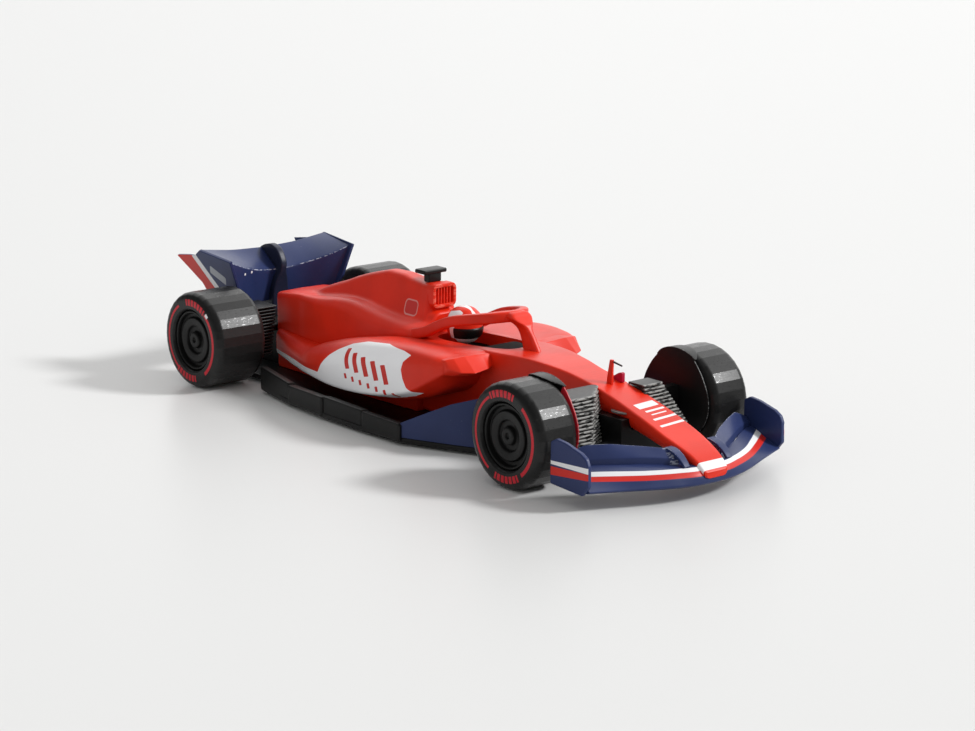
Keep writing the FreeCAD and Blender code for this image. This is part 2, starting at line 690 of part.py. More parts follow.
# ---------------------------------------------------------------------------------------------
# Floor
# ---------------------------------------------------------------------------------------------
def floor_plank():
    """Flat floor under the whole car, with the outline of its fences and raised edges."""
    body = new_body("floor")
    tail = "Sizes.rear_track - Sizes.rear_tyre_width / 2 - Sizes.plank_tyre_gap"
    last = len(TABLES["edge"][1])
    half = [(row_station("fence", index), ref(f"fence_{index}_out")) for index in (1, 2, 3, 4)]
    half += [(row_station("edge", index), ref(f"edge_{index}_out"))
             for index in range(1, last + 1)]
    half += [(row_station("edge", last), tail), (station("rear_block_back", "rear"), tail)]
    ring = half + [(ahead, f"-({out})") for ahead, out in reversed(half)]
    sketch = polygon_sketch(body, "floor_sketch", "XY_Plane", ref("plank_bottom"), ring)
    pad(body, "floor_pad", sketch, "Sizes.plank_top - Sizes.plank_bottom")
    return body


def floor_edge():
    """Right raised edge along the floor."""
    body = new_body("floor_edge_right")
    sketches = []
    for index in range(1, len(TABLES["edge"][1]) + 1):
        key = f"edge_{index}_"
        inner = f"-({ref(key + 'out')} - Sizes.edge_wall)"
        outer = f"-({ref(key + 'out')})"
        corners = [(outer, ref("plank_top")), (outer, ref(key + "high")),
                   (inner, ref(key + "high")), (inner, ref("plank_top"))]
        sketches.append(polygon_sketch(body, f"edge_section_{index}", "YZ_Plane",
                                       row_station("edge", index), corners))
    loft(body, "edge_loft", sketches)
    return body


def floor_fence(tub, pod):
    """Right fence block ahead of the floor."""
    body = new_body("fence_blank")
    sketches = []
    for index in range(1, len(TABLES["fence"][1]) + 1):
        key = f"fence_{index}_"
        outer = f"-({ref(key + 'out')})"
        corners = [(outer, ref("plank_top")), (outer, ref(key + "high")),
                   ("0", ref(key + "high")), ("0", ref("plank_top"))]
        sketches.append(polygon_sketch(body, f"fence_section_{index}", "YZ_Plane",
                                       row_station("fence", index), corners))
    loft(body, "fence_loft", sketches)
    return cut("floor_fence_right", body, tub, pod)


def diffuser():
    """Rising tail of the floor with channels between its strakes."""
    body = new_body("diffuser_blank")
    front = station("rear_block_back", "rear")
    back = station("diffuser_back", "rear")
    corners = [(front, ref("plank_bottom")), (front, ref("diffuser_high")),
               (back, ref("diffuser_high")), (back, ref("diffuser_rise"))]
    sketch = polygon_sketch(body, "diffuser_sketch", "XZ_Plane", "-Sizes.diffuser_half", corners)
    pad(body, "diffuser_pad", sketch, "2 * Sizes.diffuser_half")
    pitch = "(2 * Sizes.diffuser_half - Sizes.diffuser_strake) / Sizes.diffuser_channels"
    channels = [box(f"diffuser_channel_{index + 1}", f"{front} - ({back})",
                    f"{pitch} - Sizes.diffuser_strake",
                    "Sizes.diffuser_high - Sizes.diffuser_roof - Sizes.plank_bottom",
                    (back, f"Sizes.diffuser_strake - Sizes.diffuser_half + {index} * {pitch}",
                     ref("plank_bottom")))
                for index in range(int(size("diffuser_channels")))]
    return cut("diffuser", body, *channels)


# ---------------------------------------------------------------------------------------------
# Wheels and what carries them
# ---------------------------------------------------------------------------------------------
def wheel_disc(name, axle, radius, start, end):
    """Return a prism about the axle on the right, between two places out from the wheel's middle."""
    disc = DOC.addObject("Part::Prism", name)
    disc.setExpression("Polygon", ref("wheel_sides"))
    disc.setExpression("Circumradius", radius)
    disc.setExpression("Height", f"({end}) - ({start})")
    disc.Placement = Placement(Vector(0, 0, 0), Rotation(Vector(1, 0, 0), -90))
    place = (axle_expression(axle), f"-(Sizes.{axle}_track + ({end}))", "Sizes.wheel_radius")
    for axis, expression in zip("xyz", place):
        disc.setExpression(f"Placement.Base.{axis}", expression)
    return disc


def tyre(axle):
    """Right tyre of one axle: flat sidewalls, broad shoulders and a plain tread, all in facets."""
    half = f"Sizes.{axle}_tyre_width / 2"
    outer = [("Sizes.sidewall_land", half),
             ("Sizes.shoulder_radius", f"{half} - Sizes.shoulder_drop"),
             ("Sizes.wheel_radius", f"{half} - Sizes.shoulder_width")]
    profile = outer + [(radius, f"-({out})") for radius, out in reversed(outer)]
    rings = []
    for index, (radius, out) in enumerate(profile, start=1):
        ring = DOC.addObject("Part::RegularPolygon", f"tyre_{axle}_ring_{index}")
        ring.setExpression("Polygon", ref("wheel_sides"))
        ring.setExpression("Circumradius", radius)
        ring.Placement = Placement(Vector(0, 0, 0), Rotation(Vector(1, 0, 0), -90))
        place = (axle_expression(axle), f"-(Sizes.{axle}_track + ({out}))", "Sizes.wheel_radius")
        for axis, expression in zip("xyz", place):
            ring.setExpression(f"Placement.Base.{axis}", expression)
        rings.append(ring)
    bore = wheel_disc(f"tyre_{axle}_bore", axle, "Sizes.rim_radius", f"-({half})", half)
    return cut(f"tyre_{axle}_right", stacked(f"tyre_{axle}_blank", rings), bore)


def wheel(axle):
    """Right wheel of one axle: closed cover with a recess and hub, hollow behind it."""
    half = f"Sizes.{axle}_tyre_width / 2"
    face = f"{half} - Sizes.rim_inset"
    back = f"-({half})"
    floor = f"{face} - Sizes.cover_depth"
    hub_face = f"{floor} + Sizes.hub_proud"
    dish = f"{face} - Sizes.dish_floor"
    name = f"wheel_{axle}"
    rim = wheel_disc(f"{name}_rim", axle, "Sizes.rim_radius", back, face)
    recess = wheel_disc(f"{name}_recess", axle, "Sizes.cover_radius", floor, face)
    hollow = wheel_disc(f"{name}_hollow", axle, "Sizes.dish_radius", back, dish)
    hub = wheel_disc(f"{name}_hub", axle, "Sizes.hub_radius", floor, hub_face)
    sleeve = wheel_disc(f"{name}_sleeve", axle, "Sizes.sleeve_radius", back, dish)
    place = (axle_expression(axle), f"-(Sizes.{axle}_track - {half})", "Sizes.wheel_radius")
    bore = pin(f"{name}_bore", "Sizes.pin_radius + Sizes.pin_clearance",
               f"{hub_face} - Sizes.bore_roof + {half}", place, -1)
    shell = cut(f"{name}_shell", rim, recess, hollow)
    return cut(f"{name}_right", fused(f"{name}_whole", shell, hub, sleeve), bore)


def pins(axle):
    """Return the two pins of an axle, from the middle to just short of the bores' ends."""
    half = f"Sizes.{axle}_tyre_width / 2"
    reach = (f"Sizes.{axle}_track + {half} - Sizes.rim_inset - Sizes.cover_depth"
             " + Sizes.hub_proud - Sizes.bore_roof - Sizes.pin_gap")
    place = (axle_expression(axle), "0", "Sizes.wheel_radius")
    return [pin(f"{axle}_pin_{side}", "Sizes.pin_radius", reach, place, direction)
            for side, direction in (("right", -1), ("left", 1))]


def front_block(tub):
    """Black block under the nose that carries the front pins."""
    back = station("front_block_back")
    block = box("front_core", "Sizes.front_block_front - Sizes.front_block_back",
                "2 * Sizes.front_block_half", "Sizes.front_block_high - Sizes.front_block_low",
                (back, "-Sizes.front_block_half", ref("front_block_low")))
    whole = fused("front_block_whole", block, *pins("front"))
    return cut("front_axle_block", whole, tub)


def rear_block(cover):
    """Black block at the tail that carries the rear pins."""
    back = station("rear_block_back", "rear")
    block = box("rear_core", "Sizes.rear_block_front - Sizes.rear_block_back",
                "2 * Sizes.rear_block_half", "Sizes.rear_block_high - Sizes.plank_top",
                (back, "-Sizes.rear_block_half", ref("plank_top")))
    whole = fused("rear_block_whole", block, *pins("rear"))
    return cut("rear_axle_block", whole, cover)


def inboard(axle):
    """Return the expression for the plane just inside an axle's tyres."""
    return f"(Sizes.{axle}_track - Sizes.{axle}_tyre_width / 2 - Sizes.wheel_gap)"


def fairing(block):
    """Upright plate inside the right front wheel, with a winglet that reaches over the tyre."""
    inner = f"{inboard('front')} - Sizes.fairing_thick"
    disc = plate("fairing_disc", "fairing", inner, ref("fairing_thick"))
    winglet = plate("fairing_winglet", "winglet", inner,
                    "Sizes.fairing_thick + Sizes.winglet_reach")
    return cut("front_fairing_right", fused("fairing_whole", disc, winglet), block)


def nose_fin(tub):
    """Small flat fin on the right side of the nose."""
    corners = [(station(f"fin_{index}_ahead"), f"-({ref(f'fin_{index}_up')})")
               for index in range(1, len(OUTLINES["fin"]) + 1)]
    fin = slab("nose_fin_blank", corners, ref("fin_low"), ref("fin_thick"))
    return cut("nose_fin_right", fin, tub)


def front_duct(tub, block):
    """Right front brake duct: stepped slats from the nose to the wheel's fairing on one core."""
    outer = f"({inboard('front')} - Sizes.fairing_thick)"
    back = f"{axle_expression('front')} + Sizes.slat_back"
    root = "-Sizes.slat_root"
    slats = []
    for index in range(int(size("slat_count"))):
        lead = f"{axle_expression('front')} + Sizes.slat_front + {index} * Sizes.slat_front_step"
        inner = f"{outer} - Sizes.slat_length + {index} * Sizes.slat_length_step"
        corners = [(back, f"-{outer}"), (lead, f"-{outer}"), (lead, f"-({inner})"),
                   (f"{lead} - Sizes.slat_root_back", root), (back, root)]
        low = f"Sizes.slat_top - Sizes.slat_thick - {index} * Sizes.slat_pitch"
        slats.append(slab(f"front_slat_{index + 1}", corners, low, ref("slat_thick")))
    whole = fused("front_duct_whole", duct_core("front", "Sizes.slat_length", outer), *slats)
    return cut("front_brake_duct_right", whole, tub, block)


def rear_duct(block):
    """Right rear brake duct: stepped slats on one core, ending just inside the tyre."""
    outer = inboard("rear")
    back = f"{axle_expression('rear')} + Sizes.slat_back"
    slats = []
    for index in range(int(size("slat_count"))):
        front = f"(Sizes.slat_front + {index} * Sizes.slat_front_step)"
        low = f"Sizes.slat_top - Sizes.slat_thick - {index} * Sizes.slat_pitch"
        slats.append(box(f"rear_slat_{index + 1}", f"{front} - Sizes.slat_back",
                         f"Sizes.rear_slat_length - {index} * Sizes.slat_length_step",
                         "Sizes.slat_thick", (back, f"-{outer}", low)))
    whole = fused("rear_duct_whole", duct_core("rear", "Sizes.rear_slat_length", outer), *slats)
    return cut("rear_brake_duct_right", whole, block)


def duct_core(axle, length, outer):
    """Return the block that joins the slats of a brake duct."""
    return box(f"{axle}_duct_core", "2 * Sizes.duct_core",
               f"{length} - Sizes.slat_count * Sizes.slat_length_step",
               "Sizes.slat_count * Sizes.slat_pitch",
               (f"{axle_expression(axle)} - Sizes.duct_core", f"-{outer}",
                "Sizes.slat_top - Sizes.slat_count * Sizes.slat_pitch"))


# ---------------------------------------------------------------------------------------------
# Wings
# ---------------------------------------------------------------------------------------------
def across(body, prefix, corners_of, sides=(-1, 1)):
    """Sketch a wing's sections from its right tip to its left tip."""
    count = len(TABLES[prefix][1])
    stations = []
    if -1 in sides:
        stations += [(index, "") for index in range(count, 0, -1)]
    if 1 in sides:
        first = 2 if -1 in sides else 1
        stations += [(index, "-") for index in range(first, count + 1)]
    return [polygon_sketch(body, f"{prefix}_section_{number}", "XZ_Plane",
                           f"{sign}({ref(f'{prefix}_{index}_out')})", corners_of(index))
            for number, (index, sign) in enumerate(stations, start=1)]


def front_wing(tub):
    """Main plane of the front wing, swept back to its tips."""
    def corners(index):
        """Return one section: lip, upper face and lower face."""
        lead = row_station("wing", index, "lead")
        tail = row_station("wing", index, "tail")
        low = ref(f"wing_{index}_low")
        tail_up = ref(f"wing_{index}_tail_up")
        return [(f"{lead} - Sizes.wing_nose", low),
                (lead, f"{low} + Sizes.wing_thick"),
                (lead, f"{low} + Sizes.wing_lip"),
                (f"{lead} - Sizes.wing_nose", f"{low} + Sizes.wing_lip + Sizes.wing_thick"),
                (tail, tail_up), (tail, f"{tail_up} - Sizes.wing_thick"),
                (f"{lead} - Sizes.wing_hollow", f"{low} + Sizes.wing_thick")]
    body = new_body("front_wing_blank")
    loft(body, "front_wing_loft", across(body, "wing", corners))
    return cut("front_wing_plane", body, tub)


def front_flap(tub):
    """Right upper flap of the front wing."""
    def corners(index):
        """Return one thin section from the leading to the trailing edge."""
        lead = row_station("flap", index, "lead")
        tail = row_station("flap", index, "tail")
        lead_up = ref(f"flap_{index}_lead_up")
        tail_up = ref(f"flap_{index}_tail_up")
        return [(lead, lead_up), (lead, f"{lead_up} + Sizes.flap_thick"),
                (tail, tail_up), (tail, f"{tail_up} - Sizes.flap_thick")]
    body = new_body("front_flap_blank")
    loft(body, "front_flap_loft", across(body, "flap", corners, sides=(-1,)))
    return cut("front_wing_flap_right", body, tub)


def plate(name, outline, inner, thick, axle="front"):
    """Return a right upright plate with an outline in the car's side view."""
    body = new_body(name)
    corners = [(station(f"{outline}_{index}_ahead", axle), ref(f"{outline}_{index}_up"))
               for index in range(1, len(OUTLINES[outline]) + 1)]
    sketch = polygon_sketch(body, name + "_sketch", "XZ_Plane", inner, corners)
    pad(body, name + "_pad", sketch, thick)
    return body


def leaned(name, corners, thick):
    """Return a right upright plate that leans outwards about its pivot, by its outline."""
    body = new_body(name)
    rise = [(ahead, f"({up} - Sizes.rear_plate_pivot) / cos(Sizes.rear_plate_lean)")
            for ahead, up in corners]
    sketch = polygon_sketch(body, name + "_sketch", "XZ_Plane", "0", rise)
    pad(body, name + "_pad", sketch, thick)
    body.Placement = Placement(Vector(0, 0, 0), Rotation(Vector(1, 0, 0), size("rear_plate_lean")))
    body.setExpression("Placement.Rotation.Angle", ref("rear_plate_lean"))
    body.setExpression("Placement.Base.y", "Sizes.rear_tyre_width / 2 + Sizes.rear_plate_gap"
                                           " - Sizes.rear_track")
    body.setExpression("Placement.Base.z", ref("rear_plate_pivot"))
    return body


def rear_endplate():
    """Right endplate of the rear wing."""
    corners = [(station(f"rear_plate_{index}_ahead", "rear"), ref(f"rear_plate_{index}_up"))
               for index in range(1, len(OUTLINES["rear_plate"]) + 1)]
    return leaned("rear_endplate_right", corners, ref("rear_plate_thick"))


def rear_wing():
    """Upper and front faces of the rear wing, trimmed to the inner faces of its endplates."""
    def corners(index):
        """Return one section: leading edge, trailing edge and heel."""
        lead = row_station("rear_wing", index, "lead")
        tail = row_station("rear_wing", index, "tail")
        heel = row_station("rear_wing", index, "heel")
        lead_up = ref(f"rear_wing_{index}_lead_up")
        tail_up = ref(f"rear_wing_{index}_tail_up")
        heel_up = ref(f"rear_wing_{index}_heel_up")
        return [(lead, lead_up), (tail, tail_up), (tail, f"{tail_up} - Sizes.rear_wing_tail"),
                (f"{lead} - Sizes.rear_wing_thick", f"{lead_up} - Sizes.rear_wing_thick"),
                (f"{heel} - Sizes.rear_wing_thick", heel_up), (heel, heel_up)]
    body = new_body("rear_wing_blank")
    loft(body, "rear_wing_loft", across(body, "rear_wing", corners))
    back = station("rear_plate_1_ahead", "rear")
    front = axle_expression("rear")
    low = "Sizes.rear_wing_1_heel_up - Sizes.rear_plate_beyond"
    high = "Sizes.rear_wing_4_tail_up + Sizes.rear_plate_beyond"
    trim = leaned("rear_wing_trim", [(back, low), (back, high), (front, high), (front, low)],
                  ref("rear_plate_beyond"))
    return cut("rear_wing_plane", body, trim, mirrored(trim, "rear_wing_trim_left"))


def report(pieces):
    """Stop if any object failed, any piece is not sound or two labels are the same."""
    for item in DOC.Objects:
        if "Invalid" in item.State or "Error" in item.State:
            raise RuntimeError(f"{item.Label} failed: {item.State}")
    for name, piece in pieces.items():
        shape = piece.Shape
        if shape.isNull() or not shape.isValid() or shape.Volume <= 0:
            raise RuntimeError(f"{name} has no sound shape")
        print(f"{name:28s} solids {len(shape.Solids)} volume {shape.Volume:9.1f}")


def main():
    """Build every piece and write one file for each."""
    fill_sheet()
    tub = nose_and_tub()
    insert = cockpit_insert()
    hoop = halo(tub)
    cover = engine_cover(tub, hoop)
    pod = sidepod(tub, cover, hoop)
    shell, visor = helmet(insert, cover)
    block = front_block(tub)
    tail = rear_block(cover)
    duct = front_duct(tub, block)
    wing_rear = rear_wing()
    pylon = plate("pylon_blank", "pylon", "-Sizes.pylon_half", "2 * Sizes.pylon_half",
                  axle="rear")
    pieces = {
        "nose_and_tub": tub, "cockpit_insert": insert, "engine_cover": cover,
        "halo": hoop, "air_intake": air_intake(cover), "roof_camera": roof_camera(cover),
        "driver_helmet": shell, "helmet_visor": visor, "nose_probe": nose_probe(tub),
        "nose_sensor": nose_sensor(tub), "floor": floor_plank(), "diffuser": diffuser(),
        "front_axle_block": block, "rear_axle_block": tail, "front_wing_plane": front_wing(tub),
        "rear_wing_plane": wing_rear,
        "rear_wing_pylon": cut("rear_wing_pylon", pylon, wing_rear, tail),
    }
    sided = {
        "sidepod": pod, "floor_edge": floor_edge(), "floor_fence": floor_fence(tub, pod),
        "front_brake_duct": duct, "rear_brake_duct": rear_duct(tail),
        "front_fairing": fairing(block), "nose_fin": nose_fin(tub),
        "front_wing_flap": front_flap(tub),
        "front_endplate": plate("front_endplate_right", "endplate", ref("endplate_inner"),
                                ref("endplate_thick")),
        "rear_endplate": rear_endplate(),
        "tyre_front": tyre("front"), "wheel_front": wheel("front"),
        "tyre_rear": tyre("rear"), "wheel_rear": wheel("rear"),
    }
    for name, piece in sided.items():
        pieces[name + "_right"] = piece
        pieces[name + "_left"] = mirrored(piece, name + "_left")
    DOC.recompute()
    report(pieces)
    os.makedirs("parts", exist_ok=True)
    for name, piece in pieces.items():
        piece.Shape.exportStep(f"parts/{name}.step")


main()
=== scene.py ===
"""Looks of a printed display model of an open wheel racing car.

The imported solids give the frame. Every form that shows is worked out here as a surface, or is a
softened copy of its solid, and is dressed in printed plastic: red, navy, black and tyre black.
Lengths in tables are millimetres in the solids' own frame: +X forward, +Y to the car's left, +Z
up. Counts given to surfaces are numbers of rings or of points, so they set only the fineness.
"""

import logging
import math
from dataclasses import dataclass
from enum import Enum
from typing import Sequence

import bmesh
import bpy
import numpy as np
from mathutils import Matrix, Vector


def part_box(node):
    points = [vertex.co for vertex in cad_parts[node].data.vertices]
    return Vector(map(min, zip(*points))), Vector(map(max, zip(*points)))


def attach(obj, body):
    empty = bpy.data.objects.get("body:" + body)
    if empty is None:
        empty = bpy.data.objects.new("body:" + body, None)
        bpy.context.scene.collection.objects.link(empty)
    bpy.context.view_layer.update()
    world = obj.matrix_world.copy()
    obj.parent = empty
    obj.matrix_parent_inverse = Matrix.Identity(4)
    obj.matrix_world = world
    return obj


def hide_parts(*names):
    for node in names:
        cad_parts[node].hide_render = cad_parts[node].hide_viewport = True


LOG = logging.getLogger("racer")
MM = 0.001
SHARP_ANGLE = 32.0      # edges of made forms stay sharp over this angle, in degrees
SOLID_ANGLE = 28.0      # the same for copies of solids
FLAT_ANGLE = 0.4        # faces of a solid's copy that turn less than this merge, in degrees
Point = tuple[float, float, float]
Pair = tuple[float, float]
Rows = Sequence[Sequence[float]]
Numbers = np.ndarray | Sequence | float

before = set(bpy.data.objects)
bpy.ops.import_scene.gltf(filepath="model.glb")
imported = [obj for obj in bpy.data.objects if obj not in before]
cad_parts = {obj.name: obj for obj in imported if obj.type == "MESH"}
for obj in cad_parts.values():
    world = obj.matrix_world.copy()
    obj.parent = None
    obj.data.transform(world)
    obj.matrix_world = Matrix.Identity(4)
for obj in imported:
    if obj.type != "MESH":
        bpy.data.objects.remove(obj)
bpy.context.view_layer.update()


# ---------------------------------------------------------------------------------------------
# Named options
# ---------------------------------------------------------------------------------------------
class Side(Enum):
    """Side of the car, with the sign of Y there."""

    RIGHT = -1
    LEFT = 1

    @property
    def word(self) -> str:
        """Name of the side as the solids use it."""
        return self.name.lower()


class Axle(Enum):
    """Axle of the car."""

    FRONT = "front"
    REAR = "rear"


class Body(Enum):
    """Rigid body that a piece rides on when it isn't a wheel."""

    CAR = "car"


class Ends(Enum):
    """Ends of a loft that are rounded off, the first and the last."""

    FIRST = (True, False)
    LAST = (False, True)
    BOTH = (True, True)


def wheel_body(axle: Axle, side: Side) -> str:
    """Name of the rigid body of one wheel."""
    return f"{axle.value}_{side.word}_wheel"


# ---------------------------------------------------------------------------------------------
# Surfaces from whole arrays
# ---------------------------------------------------------------------------------------------
def flow(keys: np.ndarray, rows: np.ndarray, at: np.ndarray) -> np.ndarray:
    """Smooth rows between stations without overshoot.

    Formula: a cubic Hermite curve on every interval, whose slope at a station is the harmonic
    mean of the chords on its two sides, or zero where those chords differ in sign.

    Args:
        keys: station of each row, rising.
        rows: values at the stations, one row each.
        at: stations wanted.

    Returns:
        One row of values for each station wanted.
    """
    step = np.diff(keys)[:, None]
    chord = np.diff(rows, axis=0) / step
    before, after = chord[:-1], chord[1:]
    both = before + after
    inner = np.where(before * after > 0, 2 * before * after / np.where(both == 0, 1, both), 0)
    slope = np.vstack([chord[:1], inner, chord[-1:]])
    place = np.clip(np.searchsorted(keys, at, side="right") - 1, 0, len(keys) - 2)
    width = step[place]
    t = (at[:, None] - keys[place][:, None]) / width
    start, end = rows[place], rows[place + 1]
    return ((1 + 2 * t) * (1 - t) ** 2 * start + t * (1 - t) ** 2 * width * slope[place]
            + t ** 2 * (3 - 2 * t) * end + t ** 2 * (t - 1) * width * slope[place + 1])


def spaced(start: float, end: float, count: int, tight: float = 0.0) -> np.ndarray:
    """Stations from start to end, drawn towards both ends.

    Formula: u minus tight times sin(2 pi u) over 2 pi, for u in even steps from 0 to 1.

    Args:
        start: first station.
        end: last station.
        count: number of stations.
        tight: 0 for even spacing, near 1 for dense ends.

    Returns:
        The stations.
    """
    u = np.linspace(0, 1, count)
    return start + (end - start) * (u - tight * np.sin(2 * np.pi * u) / (2 * np.pi))


def table(rows: Rows) -> tuple[np.ndarray, np.ndarray]:
    """Stations, rising, and their values from a table whose first column is the station."""
    data = np.asarray(sorted(rows), float)
    return data[:, 0], data[:, 1:]


def stations(rows: Rows, count: int, tight: float = 0.0) -> tuple[np.ndarray, np.ndarray]:
    """Spaced stations over a table and the values that flow through its rows there.

    Args:
        rows: rows of the table, its first column the station.
        count: number of stations.
        tight: 0 for even spacing, near 1 for dense ends.

    Returns:
        The stations, rising, and one row of values for each.
    """
    keys, values = table(rows)
    at = spaced(keys[0], keys[-1], count, tight)
    return at, flow(keys, values, at)


def paced(rows: Rows, count: int) -> np.ndarray:
    """Values that flow at an even pace through the rows of a table without stations."""
    data = np.asarray(rows, float)
    return flow(np.linspace(0, 1, len(data)), data, np.linspace(0, 1, count))


def columns(*parts: Numbers) -> np.ndarray:
    """Columns side by side, each with one value for every row or one number for all rows."""
    return np.stack(np.broadcast_arrays(*parts), axis=1)


def points(x: Numbers, y: Numbers, z: Numbers) -> np.ndarray:
    """Grid of points from their three parts, each as rows x corners or as what spreads to it."""
    return np.stack(np.broadcast_arrays(x, y, z), axis=2)


def unit(vectors: np.ndarray) -> np.ndarray:
    """Vectors, along the last axis, made one long."""
    return vectors / np.linalg.norm(vectors, axis=-1, keepdims=True)


def rounded(corners: np.ndarray, radius: Sequence[float] | float, turn: int = 7,
            run: int = 5) -> tuple[np.ndarray, np.ndarray]:
    """Rings of corners with every corner rounded.

    Formula: each corner becomes a parabola between two points on its sides, a radius away or at
    most 0.45 of the side, and each side between two such curves gets evenly spaced points.

    Args:
        corners: rows of closed rings, rows x corners x 3.
        radius: one radius, or one for each corner.
        turn: points on a rounded corner.
        run: points added on each side.

    Returns:
        The rings, rows x points x 3, and how near each point is to the middle of a corner.
    """
    radius = np.broadcast_to(np.asarray(radius, float), corners.shape[1:2])[None, :, None]
    before, after = np.roll(corners, 1, axis=1), np.roll(corners, -1, axis=1)
    back = np.linalg.norm(before - corners, axis=2, keepdims=True)
    ahead = np.linalg.norm(after - corners, axis=2, keepdims=True)
    start = corners + (before - corners) * np.minimum(radius / np.maximum(back, 1e-9), 0.45)
    end = corners + (after - corners) * np.minimum(radius / np.maximum(ahead, 1e-9), 0.45)
    t = np.linspace(0, 1, turn)[None, None, :, None]
    arc = ((1 - t) ** 2 * start[:, :, None] + 2 * t * (1 - t) * corners[:, :, None]
           + t ** 2 * end[:, :, None])
    s = (np.arange(1, run + 1) / (run + 1))[None, None, :, None]
    line = end[:, :, None] * (1 - s) + np.roll(start, -1, axis=1)[:, :, None] * s
    ring = np.concatenate([arc, line], axis=2)
    near = np.concatenate([4 * t * (1 - t) + 0 * arc[..., :1], 0 * line[..., :1]], axis=2)
    rows, count = corners.shape[0], corners.shape[1] * (turn + run)
    return ring.reshape(rows, count, 3), near.reshape(rows, count)


def eased_ends(grid: np.ndarray, at: np.ndarray, radius: float,
               ends: Ends = Ends.BOTH) -> np.ndarray:
    """Rings drawn in towards their middles near the ends, so that the ends are rounded.

    Formula: within a radius r of an end, at a distance d from it, each ring shrinks by
    r - sqrt(r squared - (r - d) squared), as a share of its mean half width.

    Args:
        grid: rows of rings.
        at: station of each row, rising.
        radius: radius of the rounding.
        ends: which ends are rounded.

    Returns:
        The rings, drawn in.
    """
    middle = grid.mean(axis=1, keepdims=True)
    half = np.linalg.norm(grid - middle, axis=2).mean(axis=1)
    first, last = ends.value
    gap = np.minimum(at - at[0] if first else radius, at[-1] - at if last else radius)
    gap = np.clip(gap, 0, radius)
    draw = radius - np.sqrt(np.maximum(radius ** 2 - (radius - gap) ** 2, 0))
    share = (1 - draw / np.maximum(half, 1e-9))[:, None, None]
    return middle + (grid - middle) * share


def signed_distance(points: np.ndarray, ring: np.ndarray) -> np.ndarray:
    """Distance of points in a plane from a closed outline, negative inside it.

    Formula: the least distance to any side, with the sign from the parity of crossings of a
    ray along the first axis.

    Args:
        points: points x 2.
        ring: corners x 2.

    Returns:
        One distance for each point.
    """
    start, side = ring[None], (np.roll(ring, -1, axis=0) - ring)[None]
    rel = points[:, None] - start
    share = np.clip((rel * side).sum(2) / np.maximum((side ** 2).sum(2), 1e-12), 0, 1)
    gap = np.sqrt(((rel - share[..., None] * side) ** 2).sum(2)).min(axis=1)
    low, high = ring[:, 1], np.roll(ring, -1, axis=0)[:, 1]
    spans = (low[None] > points[:, 1:]) != (high[None] > points[:, 1:])
    rise = np.where(high == low, 1e-9, high - low)[None]
    cross = ring[None, :, 0] + side[..., 0] * (points[:, 1:] - low[None]) / rise
    inside = (spans & (points[:, :1] < cross)).sum(axis=1) % 2 == 1
    return np.where(inside, -gap, gap)


def round_box(half_y: float, half_z: float, corner: float, turn: int = 8) -> np.ndarray:
    """Outline of a box with quarter round corners, as (y, z) rows.

    Formula: a quarter circle about each inner corner point, in turn round the box.

    Args:
        half_y: half width.
        half_z: half height.
        corner: corner radius.
        turn: points on a corner.

    Returns:
        The outline.
    """
    angle = np.linspace(0, np.pi / 2, turn)
    parts = []
    for quarter, (sy, sz) in enumerate(((1, 1), (-1, 1), (-1, -1), (1, -1))):
        a = angle + quarter * np.pi / 2
        parts.append(np.stack([sy * (half_y - corner) + corner * np.cos(a),
                               sz * (half_z - corner) + corner * np.sin(a)], axis=1))
    return np.concatenate(parts)


def mirrored_ring(out: np.ndarray, up: np.ndarray, x: np.ndarray) -> np.ndarray:
    """Corner rings on both sides of the middle plane from half sections.

    Args:
        out: distance from the middle plane, rows x corners.
        up: height, rows x corners.
        x: station of each row.

    Returns:
        Rings of rows x (2 corners) x 3.
    """
    return points(x[:, None], np.concatenate([out, -out[:, ::-1]], axis=1),
                  np.concatenate([up, up[:, ::-1]], axis=1))


def prism(rim: Rows, low: float, high: float) -> np.ndarray:
    """Upright prism between two heights, its outline rounded through a half rim's corners.

    Args:
        rim: x and distance from the middle plane of each corner of one half.
        low: height of the bottom.
        high: height of the top.

    Returns:
        Two rings.
    """
    half = np.asarray(rim)
    outline = np.vstack([half, (half * (1, -1))[::-1]])[None]
    ring, _ = rounded(points(outline[..., 0], outline[..., 1], 0.0), 3.0, turn=6, run=1)
    return np.concatenate([ring + (0, 0, low), ring + (0, 0, high)])


def soft_block(low: Sequence[float], high: Sequence[float], corner: float) -> np.ndarray:
    """Box with every edge rounded, as rings along X.

    Formula: at a distance d from an end each ring is drawn in by corner minus
    sqrt(corner squared - (corner - d) squared).

    Args:
        low: least x, y and z.
        high: greatest x, y and z.
        corner: radius of the edges.

    Returns:
        Rows of rings.
    """
    start, end = np.asarray(low, float), np.asarray(high, float)
    middle, half = (start + end) / 2, (end - start) / 2
    turn = np.linspace(0, np.pi / 2, 5)
    run = np.concatenate([start[0] + corner * (1 - np.cos(turn)),
                          end[0] - corner * (1 - np.cos(turn[::-1]))])
    draw = corner * (1 - np.sin(np.concatenate([turn, turn[::-1]])))
    ring = round_box(half[1], half[2], corner, 5)
    share = 1 - draw[:, None, None] / half[None, None, 1:]
    across = middle[1:] + ring[None] * np.maximum(share, 0.05)
    x = np.broadcast_to(run[:, None, None], (*across.shape[:2], 1))
    return np.concatenate([x, across], axis=2)


